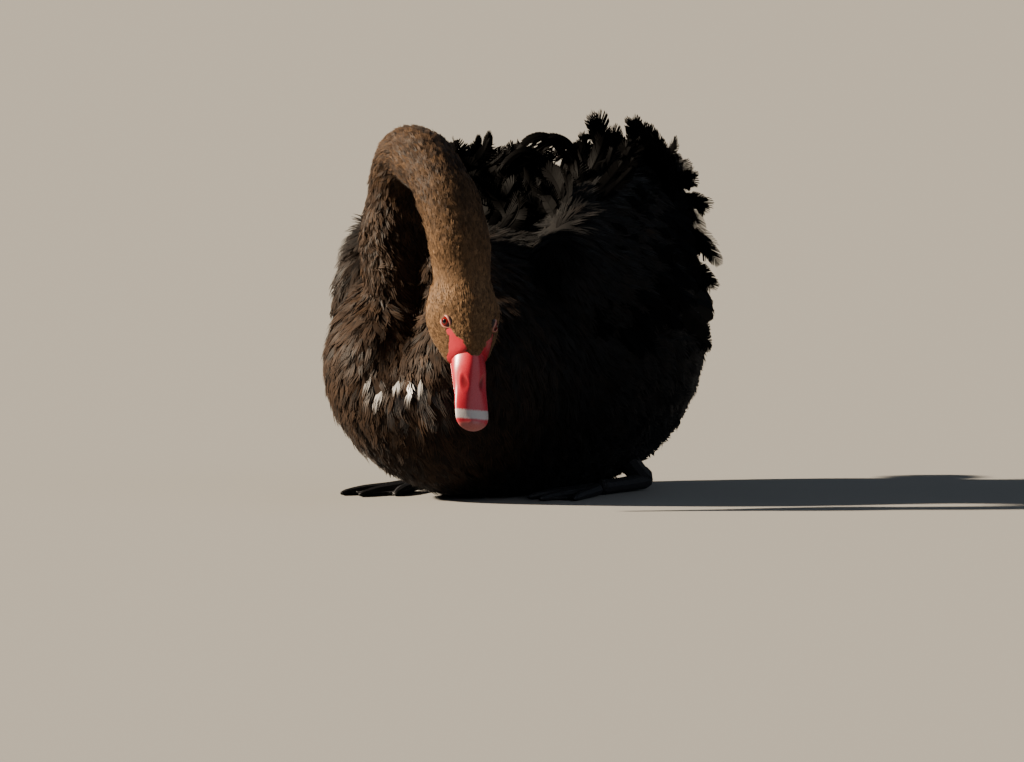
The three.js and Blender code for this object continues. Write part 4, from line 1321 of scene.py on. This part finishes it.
def buildBillMaterial():
    fixed = {
        "Coat Weight": 1.0, "Coat Roughness": 0.3,
        "Subsurface Weight": 0.06, "Subsurface Radius": (0.004, 0.001, 0.0006),
    }
    material, tree, sockets = newMaterial("billHorn", fixed)
    fine = tree.noise(hornSet["fine"], 3.0)
    along = tree.value("along")
    across = tree.math("ABSOLUTE", tree.value("across"))
    red = tree.mix(tree.noise(hornSet["cloud"], 4.0), *hornSet["red"])
    # the pale bar dips towards the tip at the ridge
    bent = tree.plus(along, tree.times(tree.times(across, across), hornSet["barDip"]))
    frayed = tree.plus(bent, tree.times(tree.minus(fine, 0.5), hornSet["fray"]))
    bar = tree.times(tree.ramp(frayed, *hornSet["barTop"]), tree.ramp(frayed, *hornSet["barEnd"]))
    barred = tree.mix(bar, red, hornSet["bar"])
    nail = tree.times(tree.ramp(along, *hornSet["nailTop"]), hornSet["nailShare"])
    nailed = tree.mix(nail, barred, hornSet["nail"])
    # painted shade: the nostrils' dents are darkened for the shade inside the openings
    nostrilShaded = tree.mix(tree.times(tree.value("dent"), hornSet["nostrilShadeShare"]), nailed, hornSet["nostrilShade"])
    tree.link(nostrilShaded, sockets["Base Color"])
    tree.link(tree.plus(tree.times(fine, 0.16), 0.2), sockets["Roughness"])
    tree.link(tree.bump(fine, 0.25, 0.0003), sockets["Normal"])
    return material


billHorn = buildBillMaterial()
upperBill = billHalf("billUpper", upperAt, True, billHorn)
lowerBill = billHalf("billLower", lowerAt, False, billHorn)

# Eyes, and lids as a shell over each with an almond opening, whose edge is a thick pale rim
irisSet = {
    "inner": (0.3, 0.012, 0.008, 1), "outer": (0.07, 0.004, 0.003, 1), "fade": (0.3, 0.75),
    "pupil": (0.002, 0.002, 0.002, 1), "pupilEdge": (0.36, 0.32),
}
lidSet = {
    "long": 52, "high": 33, "tilt": 20, "corner": 0.1, "rim": 11, "proud": 0.45,
    "steps": (0, 0, 0.15, 0.4, 0.7, 1, 1.6, 3, 5), "raised": (-0.5, 0.0, 0.7, 1, 0.95, 0.6, 0.2, 0, -0.6),
    "skin": (0.05, 0.03, 0.02, 1), "rimColor": (0.72, 0.3, 0.23, 1),
}


def onEye(side, polar, angle, radius):
    # points round an eye, by the angle from its axis and the angle about it
    outward = np.array(eyeSet["faces"]) * (1, side, 1)
    outward /= np.linalg.norm(outward)
    ahead = np.array((1.0, 0, 0)) - outward * outward[0]
    ahead /= np.linalg.norm(ahead)
    up = np.cross(outward, ahead)
    centre = np.array((-eyeSet["along"], side * eyeSet["side"], eyeSet["up"]))
    around = np.cos(angle)[..., None] * ahead + np.sin(angle)[..., None] * up
    return centre + radius * (np.sin(polar)[..., None] * around + np.cos(polar)[..., None] * outward)


def buildEye(side, name, material):
    polar = np.linspace(0.02, np.pi - 0.02, 40)[:, None]
    angle = np.linspace(0, 2 * np.pi, 48, endpoint=False)[None]
    points, faces = tube(onEye(side, polar, angle, eyeSet["radius"] - eyeSet["gap"]))
    obj = meshFrom(name, fromHead(points), turnedOut(points, faces), material)
    off = np.sin(polar) + 2 * (polar > 1.6)
    addValue(obj, "off", (off + 0 * angle).ravel())
    return obj


def buildLids(side, name, material):
    angle = np.linspace(0, 2 * np.pi, 72, endpoint=False)[None]
    turn = angle + side * np.radians(lidSet["tilt"])
    long, high = (np.radians(lidSet[label]) for label in ("long", "high"))
    opening = 1 / np.sqrt((np.cos(turn) / long) ** 2 + (np.sin(turn) / high) ** 2)
    opening = opening * (1 + lidSet["corner"] * np.abs(np.cos(turn)) ** 8)
    step, raised = (np.array(lidSet[label])[:, None] for label in ("steps", "raised"))
    polar = opening + step * np.radians(lidSet["rim"])
    radius = eyeSet["radius"] + eyeSet["gap"] + raised[..., None] * lidSet["proud"]
    points = onEye(side, polar, angle, radius).reshape(-1, 3)
    faces = gridFaces(*polar.shape, closed=True)
    a, b, c = (points[faces[:, i]] for i in (0, 1, 2))
    centre = onEye(side, np.zeros(1), np.zeros(1), 0)
    facing = np.einsum("ij,ij->i", np.cross(b - a, c - b), a - centre).sum()
    obj = meshFrom(name, fromHead(points), faces if facing > 0 else faces[:, ::-1], material)
    addValue(obj, "rim", (np.interp(step, (1.0, 1.6), (1, 0)) + 0 * polar).ravel())
    return obj


def buildIris():
    fixed = {"Roughness": 0.06, "Coat Weight": 1.0, "Coat Roughness": 0.03}
    material, tree, sockets = newMaterial("iris", fixed)
    off = tree.value("off")
    iris = tree.mix(tree.ramp(off, *irisSet["fade"]), irisSet["inner"], irisSet["outer"])
    tree.link(tree.mix(tree.ramp(off, *irisSet["pupilEdge"]), iris, irisSet["pupil"]), sockets["Base Color"])
    return material


def buildLidSkin():
    material, tree, sockets = newMaterial("lidSkin", {"Roughness": 0.4})
    tree.link(tree.mix(tree.value("rim"), lidSet["skin"], lidSet["rimColor"]), sockets["Base Color"])
    return material


irisMaterial = buildIris()
lidSkin = buildLidSkin()
eyes = {side: buildEye(sign, f"eye{side.capitalize()}", irisMaterial) for side, sign in sides}
lids = {side: buildLids(sign, f"lids{side.capitalize()}", lidSkin) for side, sign in sides}

# Legs and feet keep the solids' shape
scaleSet = {"scale": 480.0, "edge": 0.14, "colors": ((0.008, 0.008, 0.009, 1), (0.028, 0.027, 0.03, 1))}


def buildLegMaterial():
    material, tree, sockets = newMaterial("legScales", {"Roughness": 0.42})
    where = tree.add("ShaderNodeTexCoord").outputs["Object"]
    inputs = {"Scale": scaleSet["scale"], "Vector": where}
    scales = tree.add("ShaderNodeTexVoronoi", inputs, feature="DISTANCE_TO_EDGE")
    plates = tree.ramp(scales.outputs["Distance"], 0.0, scaleSet["edge"])
    tree.link(tree.mix(plates, *scaleSet["colors"]), sockets["Base Color"])
    tree.link(tree.bump(plates, 0.6, 0.0006), sockets["Normal"])
    return material


legScales = buildLegMaterial()
legs = []
for part in ("leg", "foot"):
    for side in ("left", "right"):
        points, faces = nodeMesh(f"{part}_{side}")
        obj = meshFrom(f"{part}{side.capitalize()}", points, faces, legScales)
        legs.append((obj, f"{part}_{side}"))

# What stands for what
root = "root"
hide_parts(*fleshNodes)
for piece in [skin, *coat]:
    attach(piece, root)
for side, pieces in wings.items():
    for piece in pieces:
        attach(piece, root)
    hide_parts(f"wing_{side}")
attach(tail, root)
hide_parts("tail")
for piece, node in ((upperBill, "bill_upper"), (lowerBill, "bill_lower")):
    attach(piece, root)
    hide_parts(node)
for side, piece in eyes.items():
    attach(piece, root)
    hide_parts(f"eye_{side}")
for piece in lids.values():
    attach(piece, root)
for piece, node in legs:
    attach(piece, root)
    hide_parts(node)

# Stage: a floor, a low warm sun, a faint fill and rim
stageSet = {
    "floor": 200.0, "floorColor": (0.42, 0.41, 0.385, 1), "floorBounce": (0.1, 0.104, 0.11, 1),
    "sky": (0.62, 0.66, 0.7, 1), "skyStrength": 0.5, "ambient": (0.6, 0.75, 1.0, 1), "ambientStrength": 0.045,
}
lightSet = [
    {
        "name": "sunSoft", "at": (-68, 28), "angle": 2.5, "strength": 10.5,
        "gloss": 1, "color": (1, 0.84, 0.64),
    },
    {
        "name": "fill", "at": (80, 18), "angle": 70, "strength": 0.4,
        "gloss": 0.15, "color": (0.85, 0.92, 1),
    },
    {
        "name": "rim", "at": (170, 50), "angle": 30, "strength": 0.12,
        "gloss": 1, "color": (0.8, 0.9, 1),
    },
]


def wayTo(azimuth, elevation):
    # the direction from the bird to what stands at an azimuth and elevation
    turn, high = math.radians(azimuth), math.radians(elevation)
    return Vector((math.sin(turn) * math.cos(high), -math.cos(turn) * math.cos(high), math.sin(high)))


def placed(name, data, at, way):
    # a light or camera that looks back along a way
    obj = bpy.data.objects.new(name, data)
    bpy.context.scene.collection.objects.link(obj)
    obj.location = at
    obj.rotation_euler = (-way).to_track_quat("-Z", "Y").to_euler()
    return obj


def buildFloor():
    # what the camera sees is pale, and what light meets is darker, as water sends up little
    bpy.ops.mesh.primitive_plane_add(size=stageSet["floor"])
    floor = bpy.context.object
    floor.name = "floor"
    material, tree, sockets = newMaterial("floorPale", {"Roughness": 0.9})
    seen = tree.add("ShaderNodeLightPath").outputs["Is Camera Ray"]
    tree.link(tree.mix(seen, stageSet["floorBounce"], stageSet["floorColor"]), sockets["Base Color"])
    floor.data.materials.append(material)
    return floor


def buildLight(light):
    lamp = bpy.data.lights.new(light["name"], "SUN")
    lamp.angle = math.radians(light["angle"])
    lamp.energy = light["strength"]
    lamp.color = light["color"]
    lamp.specular_factor = light["gloss"]
    way = wayTo(*light["at"])
    return placed(light["name"], lamp, 3 * way, way)


def buildWorld():
    world = bpy.data.worlds.new("studio")
    world.use_nodes = True
    tree = Tree(world.node_tree)
    ambient = world.node_tree.nodes["Background"]
    ambient.inputs[0].default_value = stageSet["ambient"]
    ambient.inputs[1].default_value = stageSet["ambientStrength"]
    sky = tree.add("ShaderNodeBackground", {0: stageSet["sky"], 1: stageSet["skyStrength"]})
    seen = tree.add("ShaderNodeLightPath").outputs["Is Camera Ray"]
    both = tree.add("ShaderNodeMixShader", {0: seen, 1: ambient.outputs[0], 2: sky.outputs[0]})
    tree.link(both.outputs[0], world.node_tree.nodes["World Output"].inputs[0])
    bpy.context.scene.world = world


floor = buildFloor()
lights = [buildLight(light) for light in lightSet]
buildWorld()
print("stage", len(lights), "lights")

# Camera, whose view's middle lies a little right of and above the bill's tip
cameraSet = {"at": (25, 2.5), "reach": 12.0, "lens": 514.5, "bill": (92, -288, 75), "right": 34.7, "up": 31.6}


def buildCamera():
    back = wayTo(*cameraSet["at"])
    turn = math.radians(cameraSet["at"][0])
    right = Vector((math.cos(turn), math.sin(turn), 0))
    middle = Vector(cameraSet["bill"]) + right * cameraSet["right"] + back.cross(right) * cameraSet["up"]
    camera = bpy.data.cameras.new("camera")
    camera.lens = cameraSet["lens"]
    camera.sensor_width = 36
    camera.clip_end = 100
    bpy.context.scene.camera = placed("camera", camera, middle * mm + back * cameraSet["reach"], back)


buildCamera()
